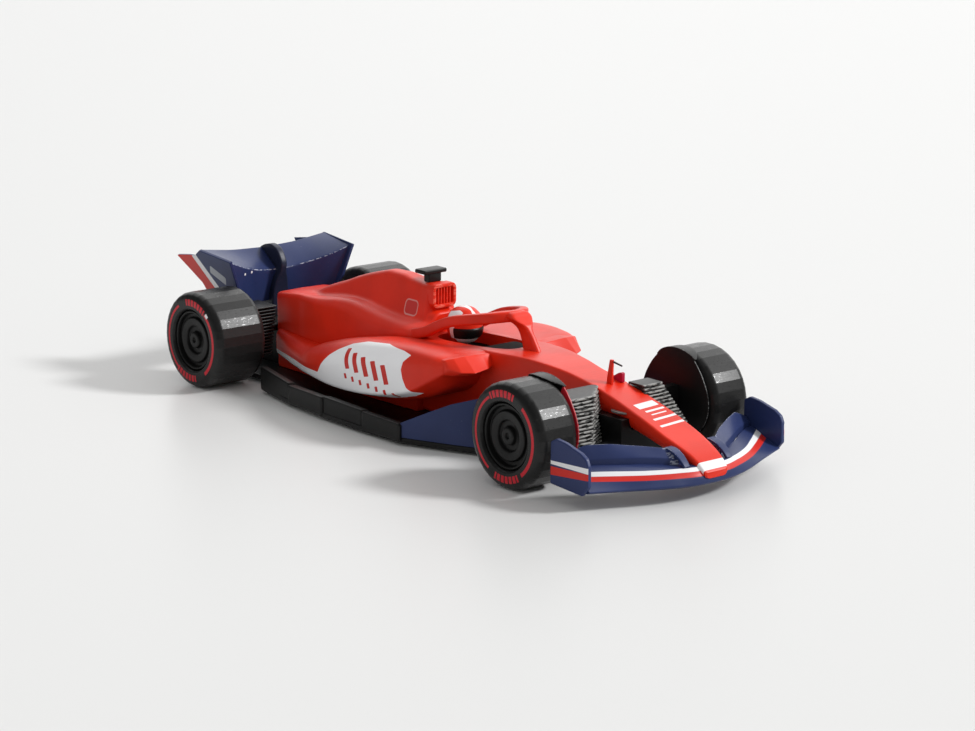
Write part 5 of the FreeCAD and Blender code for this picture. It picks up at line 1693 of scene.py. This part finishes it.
@dataclass
class BrakeDucts(Assembly):
    """Stacks of thin slats and the fairings inside the front wheels."""

    count: int = 15
    pitch: float = 1.15
    thick: float = 0.72
    top: float = 28.6
    nose_share: float = 0.45        # radius of a slat's nose as a share of its thickness
    tail_radius: float = 0.1
    worn_reach: float = 0.15        # how far behind its nose a slat carries its painted highlight
    # stored value of the painted highlight on a slat's nose
    worn_edge: float = 0.86
    lead: float = 9.2               # front edge of the top slat ahead of its axle
    lead_step: float = 0.36
    length_step: float = 0.42
    start: float = 6.0              # where the front slats start beside the nose
    turn_out: float = 0.3           # length of the turn at a slat's inner end
    right_length: float = 13.6
    back: float = -3.0              # rear edge of the right and the rear slats, from the axle
    right_drawn: tuple = (9.6, 1.2, 0.3, 0.0, 0.0, 0.0)
    left_reach: float = 14.8
    left_step: float = 0.66
    left_tip: float = 0.4           # length of the turn at a left slat's outer end
    left_back: float = 1.5
    left_drawn: tuple = (0.0, 0.0, 0.0, 0.5)
    rear_x: float = -93.0
    rear_outer: float = 26.8
    rear_length: float = 10.0
    rear_drawn: tuple = (0.5, 0.0, 0.0, 0.0)
    core_half: float = 3.6
    core_length: float = 8.0
    rear_core: float = 4.4
    core_corner: float = 0.4
    left_core: float = 0.5          # share of the stack that the left front core fills
    plate_in: float = 29.3
    plate_out: float = 29.95
    plate_edge: Pair = (0.985, 0.15)    # share of the radius, depth
    # stored value of the painted highlight along the plate's rim
    plate_worn: float = 0.8
    lap_thick: float = 0.4
    lap_radius: float = 0.16
    rim: tuple = (
        # angle about the axle from straight ahead, radius
        (-62.0, 12.6), (-40.0, 14.4), (-18.0, 15.6), (5.0, 16.2), (30.0, 16.3), (45.0, 16.8),
        (58.0, 17.6), (66.0, 18.4), (80.0, 18.7), (100.0, 18.7), (114.0, 18.4), (124.0, 17.2),
        (150.0, 16.3), (190.0, 16.2), (250.0, 16.0),
    )
    lap: tuple = (
        # angle, reach out of the plate, radius inside
        (60.0, 30.2, 18.25), (66.0, 32.0, 18.25), (74.0, 33.6, 18.25), (84.0, 34.4, 18.25),
        (96.0, 34.0, 18.25), (108.0, 32.4, 18.1), (116.0, 30.6, 17.8), (121.0, 29.6, 17.3),
    )
    axle: Pair = (82.5, 18.0)

    def build(self) -> None:
        """Build the four stacks and both fairings."""
        for side in Side:
            # the slat noses are painted pale as highlights
            self.place(f"front_duct_slats_{side.word}", self.front_stack(side),
                       Coat(SLAT, worn=True), f"front_brake_duct_{side.word}")
            self.place(f"rear_duct_slats_{side.word}", self.rear_stack(side), Coat(BLACK),
                       f"rear_brake_duct_{side.word}")
            self.place(f"front_fairing_shell_{side.word}", self.fairing(side), self.coat(side),
                       f"front_fairing_{side.word}")

    def slat(self, form: Form, index: int, axle: float, back: float, out: Sequence[float],
             drawn: Sequence[float], side: Side) -> None:
        """Loft one slat outwards, with a full round nose and square back.

        Args:
            form: form that takes the slat.
            index: its place in the stack, from the top.
            axle: x of the stack's axle.
            back: rear edge, from the axle.
            out: stations out from the middle plane.
            drawn: how far its front edge is drawn back at every station.
            side: side of the car.
        """
        low = self.top - self.thick - index * self.pitch
        lead = axle + self.lead + index * self.lead_step - np.asarray(drawn)
        tail, radius = axle + back, self.thick * self.nose_share
        corners = points(columns(lead, lead, tail, tail), side.value * np.array(out)[:, None],
                         [[low, low + self.thick, low + self.thick, low]])
        grid, near = rounded(corners, [radius, radius, self.tail_radius, self.tail_radius], 5, 1)
        # the front of each slat stores a painted highlight where its round nose catches the light
        front = grid[..., 0] > lead[:, None] - radius - self.worn_reach
        form.add(grid, crease=np.where(front, np.maximum(near, self.worn_edge), 0.0))

    def core(self, form: Form, x: float, out: Pair, side: Side,
             size: float = 1.0) -> None:
        """Add the soft edged block that joins a stack.

        Args:
            form: form that takes the block.
            x: middle of the block along X.
            out: its two ends out from the middle plane.
            side: side of the car.
            size: share of the stack's height and depth that it fills.
        """
        low, high = self.top - self.count * self.pitch, self.top - self.thick / 2
        ring = round_box(self.core_half * size, (high - low) / 2 * size, self.core_corner, 3)
        form.add(points((x + ring[:, 0])[None], side.value * np.array(out)[:, None],
                        ((low + high) / 2 + ring[:, 1])[None]))

    def front_stack(self, side: Side) -> bpy.types.Mesh:
        """Slats beside the nose, each lower one further forward.

        On the right they reach the fairing and start further out downwards; on the left they
        start at the nose and end further out downwards.
        """
        form = Form()
        x, start, outer, turn = self.axle[0], self.start, self.plate_in, self.turn_out
        if side is Side.RIGHT:
            self.core(form, x, (outer - self.core_length, outer), side)
        else:
            self.core(form, x, (start, outer), side, self.left_core)
        for index in range(self.count):
            if side is Side.RIGHT:
                inner = outer - self.right_length + index * self.length_step
                out = (start, inner - 2 * turn, inner, inner + turn, (inner + outer) / 2, outer)
                self.slat(form, index, x, self.back, out, self.right_drawn, side)
            else:
                end = self.left_reach + index * self.left_step
                out = (start, (start + end) / 2, end - self.left_tip, end)
                self.slat(form, index, x, self.left_back, out, self.left_drawn, side)
        return form.mesh("front_duct_slats", 40)

    def rear_stack(self, side: Side) -> bpy.types.Mesh:
        """Slats beside the rear wheel, each lower one further forward and shorter."""
        form = Form()
        x, outer = self.rear_x, self.rear_outer
        self.core(form, x, (outer - self.rear_core, outer), side)
        for index in range(self.count):
            inner = outer - self.rear_length + index * self.length_step
            out = (inner, inner + self.turn_out, (inner + outer) / 2, outer)
            self.slat(form, index, x, self.back, out, self.rear_drawn, side)
        return form.mesh("rear_duct_slats", 40)

    def fairing(self, side: Side) -> bpy.types.Mesh:
        """Thin upright plate with a rim that laps over the tyre.

        Formula: at angle a about the axle the plate reaches the table's radius; the lap is a
        band of constant thickness outside the tyre, from the plate to the table's reach.
        """
        x, z = self.axle
        angle, values = stations(self.rim, 150)
        angle, radius = np.radians(angle)[None], values.T
        less, deep = self.plate_edge
        share = np.array([[less], [1.0], [1.0], [less]])
        y = np.array([[self.plate_in], [self.plate_in + deep], [self.plate_out - deep],
                      [self.plate_out]])
        # the plate's rim and the lap's rounded edges store a painted highlight
        worn = self.plate_worn * np.array([[0.0], [1.0], [1.0], [0.0]])
        form = Form().add(points(x + share * radius * np.cos(angle), side.value * y,
                                 z + share * radius * np.sin(angle)),
                          crease=worn + 0 * angle)
        angle, values = stations(self.lap, 50)
        angle, (reach, inside) = np.radians(angle)[:, None], values.T
        r = columns(inside, inside, inside + self.lap_thick, inside + self.lap_thick)
        y = side.value * columns(self.plate_in, reach, reach, self.plate_in)
        corners = points(x + r * np.cos(angle), y, z + r * np.sin(angle))
        grid, near = rounded(corners, self.lap_radius, 4, 2)
        return form.add(grid, crease=near).mesh("front_fairing_shell", 40)

    def coat(self, side: Side) -> Coat:
        """Black with painted highlights on its edges, and a red front rim on the right."""
        hub = (self.axle[0], 0.0, self.axle[1])
        rim = Limited(RING_INK, Ring(RING_INK, hub, 15.2, 17.9, 16.0, 46.0),
                      ((0, -1, 0), self.plate_in - 0.2, self.plate_out + 0.5))
        return Coat(BLACK, f"black_fairing_{side.word}", [rim] if side is Side.RIGHT else [],
                    worn=True)


@dataclass
class FrontWing(Assembly):
    """Main plane with its stripes, steep flaps with curled tips, and endplates."""

    rows: tuple = (
        # out, lead, low, red, red_up, white, white_up, tail, tail_up
        (0.0, 133.0, 5.0, 132.0, 8.6, 129.6, 11.2, 118.6, 11.6),
        (6.0, 132.6, 5.0, 131.7, 8.6, 129.3, 11.2, 118.6, 11.6),
        (14.0, 131.0, 5.1, 129.6, 8.7, 126.9, 11.3, 119.0, 11.9),
        (22.0, 128.2, 5.3, 126.4, 8.8, 123.2, 11.3, 117.6, 12.2),
        (31.0, 124.4, 5.5, 121.2, 8.8, 117.2, 11.3, 112.0, 12.3),
        (43.3, 119.6, 5.8, 112.8, 8.8, 108.0, 11.0, 104.6, 11.8),
    )
    radii: tuple = (0.6, 0.7, 1.0, 0.8, 0.3, 0.3, 2.0)
    corners: tuple = (
        # how far the plane's corners lie back and up from their lines
        (1.6, 0.0), (0.0, 0.9), (0.0, 0.0), (0.0, 0.0), (0.0, 0.0), (0.0, -1.2), (9.0, 1.1),
    )
    under: float = 0.25             # how far under the red line the stripes end
    no_stripe: float = -4.0         # stored value that is surely off the stripes
    flaps: tuple = (
        # out, lead, lead_up, tail, tail_up
        (9.6, 124.9, 13.0, 120.9, 16.0),
        (13.0, 123.0, 13.4, 118.8, 16.5),
        (17.0, 120.7, 13.8, 115.9, 17.0),
        (22.0, 117.8, 14.0, 113.0, 17.6),
        (28.0, 113.8, 13.9, 110.0, 18.3),
        (33.0, 110.6, 13.7, 107.2, 18.3),
        (38.0, 107.8, 13.2, 105.0, 16.8),
        (43.3, 105.4, 12.6, 103.2, 14.6),
    )
    flap_corners: tuple = (
        # how far a flap's corners lie back and up from their lines
        (0.0, -2.4), (0.2, 0.2), (0.0, 0.0), (0.9, -2.0),
    )
    flap_radius: float = 0.35
    flap_end: float = 0.4
    flap_edge: float = 0.9          # height of the pale edge under a flap's top, partly wear and partly painted highlight
    inner_edge: Pair = (3.6, 0.85)  # reach and value of its pale inner end, partly wear and partly painted highlight
    curl: tuple = (
        # x, up, half width
        (128.4, 11.2, 1.2), (127.2, 12.5, 1.3), (125.4, 14.0, 1.5), (123.4, 15.1, 1.6),
        (121.4, 15.7, 1.7), (119.6, 15.8, 1.7),
    )
    curl_out: float = 9.6
    curl_half: float = 0.5
    curl_radius: float = 0.25
    curl_worn: float = 14.4         # height over which the curl's edges are painted pale, partly wear and partly painted highlight
    plate_bevel: float = 0.45

    def build(self) -> None:
        """Build the plane and flaps, and soften the endplates."""
        self.place("front_wing_surface", self.plane(), self.plane_coat(), "front_wing_plane")
        for side in Side:
            # flap and curl edges painted pale: partly wear, partly painted highlight
            self.place(f"front_flap_surface_{side.word}", self.flap(side),
                       Coat(NAVY, "navy_worn", worn=True), f"front_wing_flap_{side.word}")
            self.softened(f"front_endplate_{side.word}", self.endplate_coat(), self.plate_bevel)

    def plane(self) -> bpy.types.Mesh:
        """Loft the main plane from tip to tip and store where the stripes run.

        Formula: the stripe value is 0 at the stripes' front edge and 2 at their back edge, as
        the share of the way along the sloping face between the two.
        """
        keys, values = table(self.rows)
        y = spaced(-keys[-1], keys[-1], 221, 0.2)
        lead, low, red, red_up, white, white_up, tail, tail_up = flow(keys, values, np.abs(y)).T
        back, rise = np.transpose(self.corners)
        corners = points(columns(lead, lead, red, white, tail, tail, lead) - back, y[:, None],
                         columns(low, low, red_up, white_up, tail_up, tail_up, low) + rise)
        grid, _ = rounded(corners, self.radii, turn=6, run=9)
        stripe = 2 * (red[:, None] - grid[..., 0]) / (red - white)[:, None]
        under = grid[..., 2] < (red_up - self.under)[:, None]
        return Form().add(grid, stripe=np.where(under, self.no_stripe, stripe)).mesh(
            "front_wing_surface")

    def plane_coat(self) -> Coat:
        """Navy with the red and white stripes along the leading edge."""
        return Coat(NAVY, "navy_striped", [Field(RED_INK, "stripe", -0.02, 1.0),
                                           Field(WHITE_INK, "stripe", 1.0, 1.95)])

    def flap(self, side: Side) -> bpy.types.Mesh:
        """Loft one flap outwards, with its curled strip."""
        out, values = stations(self.flaps, 90, 0.3)
        lead, lead_up, tail, tail_up = values.T
        back, rise = np.transpose(self.flap_corners)
        corners = points(columns(lead, lead, tail, tail) - back, side.value * out[:, None],
                         columns(lead_up, lead_up, tail_up, tail_up) + rise)
        grid, near = rounded(corners, self.flap_radius, turn=5, run=6)
        grid = eased_ends(grid, out, self.flap_end, Ends.FIRST)
        upper = grid[..., 2] > (tail_up - self.flap_edge)[:, None]
        reach, worn = self.inner_edge
        end = np.clip(reach - (out - out[0]), 0, 1)[:, None] * worn
        form = Form().add(grid, crease=np.maximum(near * upper, end))
        self.add_curl(form, side)
        return form.mesh("front_flap_surface")

    def add_curl(self, form: Form, side: Side) -> None:
        """Sweep the curled strip at a flap's inner end, level across its running line."""
        x, up, half = paced(self.curl, 40).T
        run = unit(columns(np.gradient(x), np.gradient(up)))
        lift = self.curl_half * np.array([-1.0, 1.0, 1.0, -1.0])
        corners = points(x[:, None] - run[:, 1:] * lift,
                         side.value * self.curl_out + columns(half, half, -half, -half),
                         up[:, None] + run[:, :1] * lift)
        grid, near = rounded(corners, self.curl_radius, 4, 3)
        form.add(grid, crease=near * (grid[..., 2] > self.curl_worn))

    def endplate_coat(self) -> Coat:
        """Navy with the stripes rising towards the front of its outer face."""
        marks = []
        for side in Side:
            outer = ((0, side.value, 0), 44.6, 46.0)
            marks += [Band(WHITE_INK, (((-0.055, 0, 1.0), 0.0, 8.36),
                                       ((-0.015, 0, 1.0), 11.3, 40.0), outer)),
                      Band(RED_INK, (((-0.0545, 0, 1.0), 0.0, 6.52),
                                     ((-0.0945, 0, 1.0), -0.42, 40.0), outer))]
        return Coat(NAVY, "navy_endplate", marks)


@dataclass
class RearWing(Assembly):
    """Upper and front faces, leaning endplates and the centre pylon."""

    rows: tuple = (
        # out, lead, lead_up, tail, tail_up, heel, heel_up
        (0.0, -105.5, 37.0, -115.4, 44.2, -107.5, 24.5),
        (7.0, -105.0, 37.4, -115.4, 44.4, -107.2, 24.7),
        (14.0, -103.5, 38.6, -115.4, 44.7, -106.5, 25.0),
        (22.0, -100.0, 41.2, -115.4, 45.6, -103.5, 26.0),
        (31.0, -96.6, 45.4, -115.4, 46.8, -99.0, 28.0),
    )
    half_span: float = 28.5
    radii: tuple = (0.5, 0.4, 0.4, 0.8, 0.4, 0.4)
    worn_depth: float = 1.0         # height of the pale edges under the leading edge, partly wear and partly painted highlight
    pylon: tuple = (
        # x and z of the back edge, x and z of the front edge, half width
        (-112.4, 19.5, -104.6, 19.5, 3.8), (-112.0, 28.0, -104.2, 28.0, 3.6),
        (-110.0, 32.5, -103.4, 33.0, 2.8), (-107.0, 35.6, -102.4, 36.6, 1.6),
        (-106.4, 37.2, -101.9, 39.4, 1.4), (-108.2, 39.2, -103.4, 42.8, 1.5),
        (-111.0, 41.2, -106.0, 45.4, 1.5), (-113.8, 43.0, -109.4, 46.3, 1.4),
        (-116.2, 44.0, -113.0, 45.6, 1.2),
    )
    pylon_radius: float = 0.7
    plate_foot: float = 24.3
    plate_pivot: float = 34.0
    plate_lean: float = 20.4
    plate_overlap: float = 0.4
    plate_bevel: float = 0.3
    thick: float = 1.5
    studs: tuple = ((-103.0, -14.4, 37.8), (-103.0, -18.8, 37.8))

    def build(self) -> None:
        """Build the wing and pylon, and soften the endplates."""
        studs = [Badge(WHITE_INK, stud, (90, 0, 90), (0.5, 0.5, 4.0), 0.5) for stud in self.studs]
        # the wing's leading edge is painted pale: partly wear, partly painted highlight
        self.place("rear_wing_surface", self.plane(),
                   Coat(NAVY, "navy_rear_wing", studs, worn=True), "rear_wing_plane")
        # the pylon takes the darker navy as painted shade
        self.place("rear_pylon_shell", self.pylon_shell(), Coat(NAVY_SHADE), "rear_wing_pylon")
        for side in Side:
            self.softened(f"rear_endplate_{side.word}", self.endplate_coat(), self.plate_bevel)

    def plane(self) -> bpy.types.Mesh:
        """Loft the wing from one endplate to the other.

        Formula: at a share t of the half span a corner at height z lies at t times the place of
        the endplate's inner face there, foot + (z - pivot) tan(lean), and the overlap more.
        """
        keys, values = table(self.rows)
        t = np.linspace(-1, 1, 161)
        lead, lead_up, tail, tail_up, heel, heel_up = flow(
            keys, values, np.abs(t) * self.half_span).T
        thick = self.thick
        x = columns(lead, tail, tail, lead - thick, heel - thick, heel)
        z = columns(lead_up, tail_up, tail_up - thick, lead_up - thick, heel_up, heel_up)
        slope = math.tan(math.radians(self.plate_lean))
        y = t[:, None] * (self.plate_foot + (z - self.plate_pivot) * slope + self.plate_overlap)
        grid, near = rounded(points(x, y, z), self.radii, 6, 9)
        upper = grid[..., 2] > (lead_up - self.worn_depth)[:, None]
        return Form().add(grid, crease=near * upper).mesh("rear_wing_surface")

    def pylon_shell(self) -> bpy.types.Mesh:
        """Loft the swan neck pylon over the wing's leading edge."""
        back, back_up, front, front_up, half = paced(self.pylon, 90).T
        corners = points(columns(back, front, front, back), columns(half, half, -half, -half),
                         columns(back_up, front_up, front_up, back_up))
        grid, _ = rounded(corners, self.pylon_radius, 5, 3)
        return Form().add(grid).mesh("rear_pylon_shell", 50)

    def endplate_coat(self) -> Coat:
        """Navy with a red and a white band and a plain pale patch on the outer face."""
        lean = (0.793, 0, 0.61)
        angle = math.radians(self.plate_lean)
        level, rise = math.cos(angle), math.sin(angle)
        foot = self.plate_foot * level - self.plate_pivot * rise
        patch = Badge(PALE_INK, (-107.6, 0, 37.4), (90, 24, 0), (4.6, 1.7, 60.0), 0.7)
        marks = []
        for side in Side:
            outer = ((0, side.value * level, -rise), foot + 0.9, foot + 3.0)
            marks += [Band(WHITE_INK, ((lean, -70.4, -67.4), outer)),
                      Band(RED_INK, ((lean, -140.0, -70.4), outer)),
                      Limited(PALE_INK, patch, outer)]
        return Coat(NAVY, "navy_rear_endplate", marks)


# ---------------------------------------------------------------------------------------------
# Studio
# ---------------------------------------------------------------------------------------------
@dataclass
class Studio:
    """Pale floor, soft sun, pale surroundings and the camera."""

    camera_place: Point = (733.9, -613.4, 251.3)
    camera_turn: Point = (-40.6, 13.65, 0.62)
    lens: float = 101.70
    sensor: float = 36.0
    clip: Pair = (0.01, 100.0)
    sun_from: Point = (0.545, 0.589, 0.598)
    sun_strength: float = 2.5
    sun_angle: float = 11.0
    ambient: float = 0.60
    surround: float = 0.76
    surround_colour: tuple = (1.0, 1.0, 0.995, 1)
    far_from: Point = (-0.45, 0.62, 0.64)
    far_range: Pair = (0.5, 1.05)   # cosine where the far glow starts, is full
    far_glow: float = 2.1
    near_glow: float = 0.07
    floor_half: float = 12.0
    floor_colour: tuple = (0.715, 0.715, 0.71, 1)
    floor_roughness: float = 0.36
    floor_shine: float = 0.2

    def build(self) -> None:
        """Build floor, lights, surroundings and camera."""
        self.floor()
        self.sun()
        self.world()
        self.camera()

    def floor(self) -> None:
        """Lay a wide pale floor with a faint sheen."""
        h = self.floor_half
        mesh = bpy.data.meshes.new("studio_floor")
        mesh.from_pydata([(-h, -h, 0), (h, -h, 0), (h, h, 0), (-h, h, 0)], [], [(0, 1, 2, 3)])
        piece = bpy.data.objects.new("studio_floor", mesh)
        bpy.context.scene.collection.objects.link(piece)
        material = bpy.data.materials.new("studio_floor")
        material.use_nodes = True
        shader = material.node_tree.nodes["Principled BSDF"]
        shader.inputs["Base Color"].default_value = self.floor_colour
        shader.inputs["Roughness"].default_value = self.floor_roughness
        shader.inputs["Specular IOR Level"].default_value = self.floor_shine
        mesh.materials.append(material)

    def sun(self) -> None:
        """Hang the key light."""
        data = bpy.data.lights.new("key_sun", "SUN")
        data.energy = self.sun_strength
        data.angle = math.radians(self.sun_angle)
        lamp = bpy.data.objects.new("key_sun", data)
        lamp.rotation_mode = "QUATERNION"
        lamp.rotation_quaternion = Vector(self.sun_from).to_track_quat("Z", "Y")
        bpy.context.scene.collection.objects.link(lamp)

    def world(self) -> None:
        """Surround the car with an even pale fill, mirrored as a bright far side.

        Formula: what glossy surfaces mirror rises smoothly from the near glow to the far glow
        with the part of the direction that points to the far side.
        """
        world = bpy.data.worlds.new("studio_world")
        world.use_nodes = True
        bpy.context.scene.world = world
        g = Graph(world.node_tree)
        world.node_tree.nodes.clear()
        path = g.add("ShaderNodeLightPath").outputs
        way = g.add("ShaderNodeTexCoord").outputs["Generated"]
        along = g.vector("DOT_PRODUCT", way, self.far_from).outputs["Value"]
        share = g.step(along, *self.far_range)
        mirrored = g.math("MULTIPLY_ADD", share, self.far_glow - self.near_glow, self.near_glow)
        seen = g.math("MAXIMUM", path["Is Camera Ray"], path["Is Transmission Ray"])
        strength = g.math("MULTIPLY_ADD", seen, self.surround - self.ambient, self.ambient)
        fill = g.math("MULTIPLY", g.math("SUBTRACT", 1.0, path["Is Glossy Ray"]), strength)
        total = g.math("MULTIPLY_ADD", path["Is Glossy Ray"], mirrored, fill)
        back = g.add("ShaderNodeBackground", {"Color": self.surround_colour,
                                              "Strength": total})
        out = g.add("ShaderNodeOutputWorld")
        g.put(out.inputs["Surface"], back.outputs[0])

    def camera(self) -> None:
        """Stand the camera where its turn, rise and roll about the view put it."""
        turn, rise, roll = (math.radians(angle) for angle in self.camera_turn)
        back = Vector((math.cos(turn) * math.cos(rise), math.sin(turn) * math.cos(rise),
                       math.sin(rise)))
        right = Vector((0, 0, 1)).cross(back).normalized()
        up = back.cross(right)
        level, tilt = math.cos(roll), math.sin(roll)
        axes = (right * level + up * tilt, up * level - right * tilt, back)
        data = bpy.data.cameras.new("studio_camera")
        data.sensor_width = self.sensor
        data.lens = self.lens
        data.clip_start, data.clip_end = self.clip
        camera = bpy.data.objects.new("studio_camera", data)
        place = Matrix([[axes[column][row] for column in range(3)] for row in range(3)]).to_4x4()
        place.translation = Vector(scaled(self.camera_place))
        camera.matrix_world = place
        bpy.context.scene.collection.objects.link(camera)
        bpy.context.scene.camera = camera


def main() -> None:
    """Build every sub-assembly in order, then the studio."""
    logging.basicConfig(level=logging.INFO, format="%(name)s %(message)s")
    scene = bpy.context.scene
    scene.view_settings.view_transform = "Standard"
    paint = Paintshop()
    for kind in (SurvivalCell, EngineCover, SidePods, Hoop, Intake, Driver, Fittings, Wheels,
                 Underbody, BrakeDucts, FrontWing, RearWing):
        LOG.info("building %s", kind.__name__)
        kind(paint).build()
    Studio().build()


if __name__ == "__main__":
    main()
